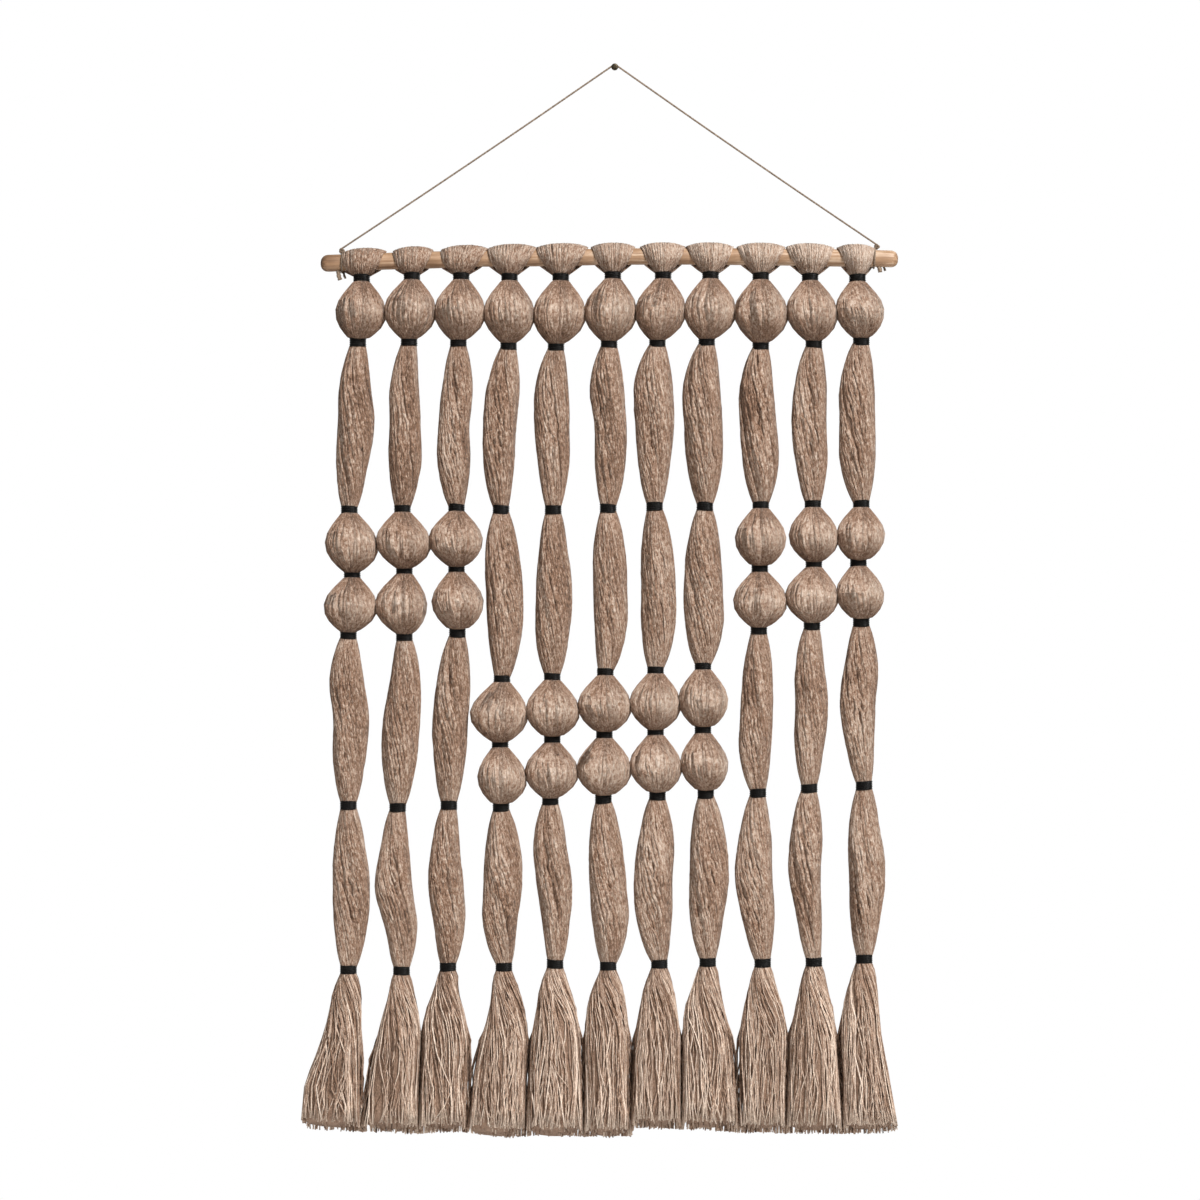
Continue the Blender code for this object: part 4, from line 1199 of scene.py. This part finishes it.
class WALLHANGING_OT_stage(bpy.types.Operator):
    """Set up the camera, the lights, the white studio and the floor"""

    bl_idname = "wallhanging.stage"
    bl_label = "Studio"

    def execute(self, context):
        stage = context.scene.hanging_stage
        camera = bpy.data.cameras.new("camera")
        camera.sensor_width = CAMERA_SENSOR
        camera.lens = CAMERA_SENSOR * stage.distance / stage.frame
        camera.clip_end = 50
        viewer = bpy.data.objects.new("camera", camera)
        viewer.location = LOOK_AT - (0, stage.distance, 0)
        viewer.rotation_euler = (np.pi / 2, 0, 0)
        context.scene.collection.objects.link(viewer)
        context.scene.camera = viewer
        for name, place, size in LAMPS:
            light = bpy.data.lights.new(name, "AREA")
            light.energy = getattr(stage, name)
            light.size = size
            lamp = bpy.data.objects.new(name, light)
            lamp.visible_camera = False
            lamp.location = LOOK_AT + place
            lamp.rotation_mode = "QUATERNION"
            lamp.rotation_quaternion = Vector(-np.array(place)).to_track_quat("-Z", "Y")
            context.scene.collection.objects.link(lamp)
        self.make_studio(context, stage.surround)
        self.make_floor(context)
        context.scene.view_settings.view_transform = "Standard"
        return {"FINISHED"}

    def make_studio(self, context, brightness):
        """White all round: full white to the camera, and as light softer and mostly from above."""
        world = bpy.data.worlds.new("white_studio")
        world.use_nodes = True
        tree = world.node_tree
        tree.nodes.clear()
        path = add_node(tree, "ShaderNodeLightPath")
        place = add_node(tree, "ShaderNodeTexCoord")
        split = add_node(tree, "ShaderNodeSeparateXYZ", {0: place.outputs["Generated"]})
        light = add_node(tree, "ShaderNodeMapRange",
                         {"Value": split.outputs["Z"], "From Min": -0.6, "From Max": 0.4,
                          "To Min": brightness * 0.25, "To Max": brightness})
        strength = add_node(tree, "ShaderNodeMapRange",
                            {"Value": path.outputs["Is Camera Ray"], "To Min": light.outputs[0],
                             "To Max": 1.0})
        shine = add_node(tree, "ShaderNodeBackground",
                         {"Color": colour(0xFFFFFF), "Strength": strength.outputs[0]})
        add_node(tree, "ShaderNodeOutputWorld", {"Surface": shine.outputs[0]})
        context.scene.world = world

    def make_floor(self, context):
        """A round pale floor under the hanging: middle + radius (cos a, sin a, 0)."""
        angle = round_turn(96)
        ring = FLOOR_MIDDLE + FLOOR_RADIUS * points_of(np.cos(angle), np.sin(angle), 0)
        mesh = bpy.data.meshes.new("floor")
        mesh.from_pydata(ring.tolist(), [], [list(range(len(ring)))])
        # Matt paint, very slightly uneven over 400 mm.
        made, tree = new_material("pale_matt_floor")
        uneven = noise(tree, (0.4, 0.4, 0.4), 2.0)
        finish_surface(tree, colour_ramp(tree, uneven, ((0.3, 0xE6E4E0), (0.7, 0xEFEDEA))), uneven,
                       0.0002, {"Roughness": 0.8})
        mesh.materials.append(made)
        floor = bpy.data.objects.new("floor", mesh)
        context.scene.collection.objects.link(floor)


class WALLHANGING_OT_hanger(bpy.types.Operator):
    """Make the twine over the nail and the ties at both ends of the rod"""

    bl_idname = "wallhanging.hanger"
    bl_label = "Twine and ties"

    def execute(self, context):
        twine = context.scene.hanging_twine
        left, right = (twine_leg(knot) for knot in KNOTS)
        top = np.array((0, TWINE_DEPTH, TWINE_OVER_NAIL))
        route = even(curve_through([*left, top, *reversed(right)], 24), 1.2)
        radius = twine.thickness * MM / 2
        cord = twisted_cord(route, radius, (0, 1, 0), sides=8)
        finishes = ["two_ply_jute_twine"]
        piece = build_piece("twine_over_nail", [cord], finishes, ["hanger_twine"])
        ties = [build_piece(knot.name.replace("knot", "tie"), tie_surfaces(knot, radius), finishes,
                            [knot.name]) for knot in KNOTS]
        return {"FINISHED"}


class WALLHANGING_OT_nail(bpy.types.Operator):
    """Make the nail: a profile turned about its axis, (r cos a, -out of the wall, r sin a)"""

    bl_idname = "wallhanging.nail"
    bl_label = "Nail"

    def execute(self, context):
        tip = NAIL_SHANK_LENGTH + NAIL_HEAD_THICKNESS
        head, shank = NAIL_HEAD_RADIUS, NAIL_SHANK_RADIUS
        profile = np.array(((shank, 0), (shank, NAIL_SHANK_LENGTH - 0.3),
                            (shank + 0.3, NAIL_SHANK_LENGTH), (head - 0.25, NAIL_SHANK_LENGTH),
                            (head, NAIL_SHANK_LENGTH + 0.3), (head, tip - 0.6),
                            (head - 0.35, tip - 0.2), (head * 0.6, tip), (0.05, tip)))
        angle = round_turn(32)
        r, out = profile[:, :1], profile[:, 1:]
        rings = points_of(r * np.cos(angle), -out, r * np.sin(angle))
        build_piece("nail_in_wall", [sleeve(rings, 0.5)], ["browned_steel"], ["nail"])
        return {"FINISHED"}


class WALLHANGING_OT_rod(bpy.types.Operator):
    """Make the wooden rod: a round stick with soft flats, a slight bow and rounded ends"""

    bl_idname = "wallhanging.rod"
    bl_label = "Rod"

    def execute(self, context):
        rng = np.random.default_rng(ROD_SEED)
        surface = rod_surface(rng, context.scene.hanging_rod.length * MM)
        build_piece("wooden_rod", [surface], ["sanded_pine"], ["rod"])
        return {"FINISHED"}


class WALLHANGING_OT_hanks(bpy.types.Operator):
    """Make the yarn of the eleven hanks, from the loop over the rod to the last binding"""

    bl_idname = "wallhanging.hanks"
    bl_label = "Hanks"

    def execute(self, context):
        yarn = context.scene.hanging_yarn
        for number, hank in enumerate(HANKS, start=1):
            rng = np.random.default_rng((yarn.seed, number))
            surfaces = [loop_strands(rng, hank, yarn), loop_core(hank)]
            for length, below in zip(hank.lengths, hank.lengths[1:]):
                surfaces += [length_strands(rng, length, below, yarn), length_core(length, below)]
            surfaces += [neck_plug(length) for length in hank.lengths]
            build_piece(f"yarn_{number:02d}", surfaces, ["jute_yarn", "jute_in_shade"],
                        [f"hank_{number:02d}"])
        return {"FINISHED"}


class WALLHANGING_OT_tassels(bpy.types.Operator):
    """Make the cut tassels below the last bindings"""

    bl_idname = "wallhanging.tassels"
    bl_label = "Tassels"

    def execute(self, context):
        yarn = context.scene.hanging_yarn
        for number, hank in enumerate(HANKS, start=1):
            rng = np.random.default_rng((yarn.seed, number, TASSEL_SEED))
            tassel = hank.lengths[-1]
            surfaces = [tassel_strands(rng, tassel, yarn), tassel_core(tassel)]
            build_piece(f"fringe_{number:02d}", surfaces, ["jute_cut_ends", "jute_in_shade"],
                        [f"tassel_{number:02d}"])
        return {"FINISHED"}


class WALLHANGING_OT_bindings(bpy.types.Operator):
    """Make the seven black bindings of each hank"""

    bl_idname = "wallhanging.bindings"
    bl_label = "Bindings"

    def execute(self, context):
        cord = context.scene.hanging_cord
        for number, hank in enumerate(HANKS, start=1):
            rng = np.random.default_rng((BINDING_SEED, number))
            surfaces = [binding_surface(rng, bound, cord) for bound in hank.lengths]
            nodes = [f"binding_{number:02d}_{place}" for place in (1, 2, 7)]
            build_piece(f"wraps_{number:02d}", surfaces, ["waxed_black_cotton_cord"],
                        nodes)
        return {"FINISHED"}


STEPS = (WALLHANGING_OT_stage, WALLHANGING_OT_hanger, WALLHANGING_OT_nail, WALLHANGING_OT_rod,
         WALLHANGING_OT_hanks, WALLHANGING_OT_tassels, WALLHANGING_OT_bindings)


class WALLHANGING_PT_panel(bpy.types.Panel):
    """The steps of the wall hanging and their settings"""

    bl_idname = "WALLHANGING_PT_panel"
    bl_label = "Wall hanging"
    bl_space_type = "VIEW_3D"
    bl_region_type = "UI"
    bl_category = "Wall hanging"

    def draw(self, context):
        for name, group in GROUPS.items():
            box = self.layout.box()
            for setting in group.__annotations__:
                box.prop(getattr(context.scene, name), setting)
        for step in STEPS:
            self.layout.operator(step.bl_idname)


def register():
    """Put the settings, the steps and the panel into Blender."""
    for name, group in GROUPS.items():
        bpy.utils.register_class(group)
        setattr(bpy.types.Scene, name, bpy.props.PointerProperty(type=group))
    for made in (*STEPS, WALLHANGING_PT_panel):
        bpy.utils.register_class(made)


def unregister():
    """Take them out again, the last one first."""
    for made in (WALLHANGING_PT_panel, *reversed(STEPS)):
        bpy.utils.unregister_class(made)
    for name, group in reversed(GROUPS.items()):
        delattr(bpy.types.Scene, name)
        bpy.utils.unregister_class(group)


def main():
    """Make the whole hanging in order."""
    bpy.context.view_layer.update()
    register()
    for step in STEPS:
        group, name = step.bl_idname.split(".")
        getattr(getattr(bpy.ops, group), name)()


if __name__ == "__main__":
    main()
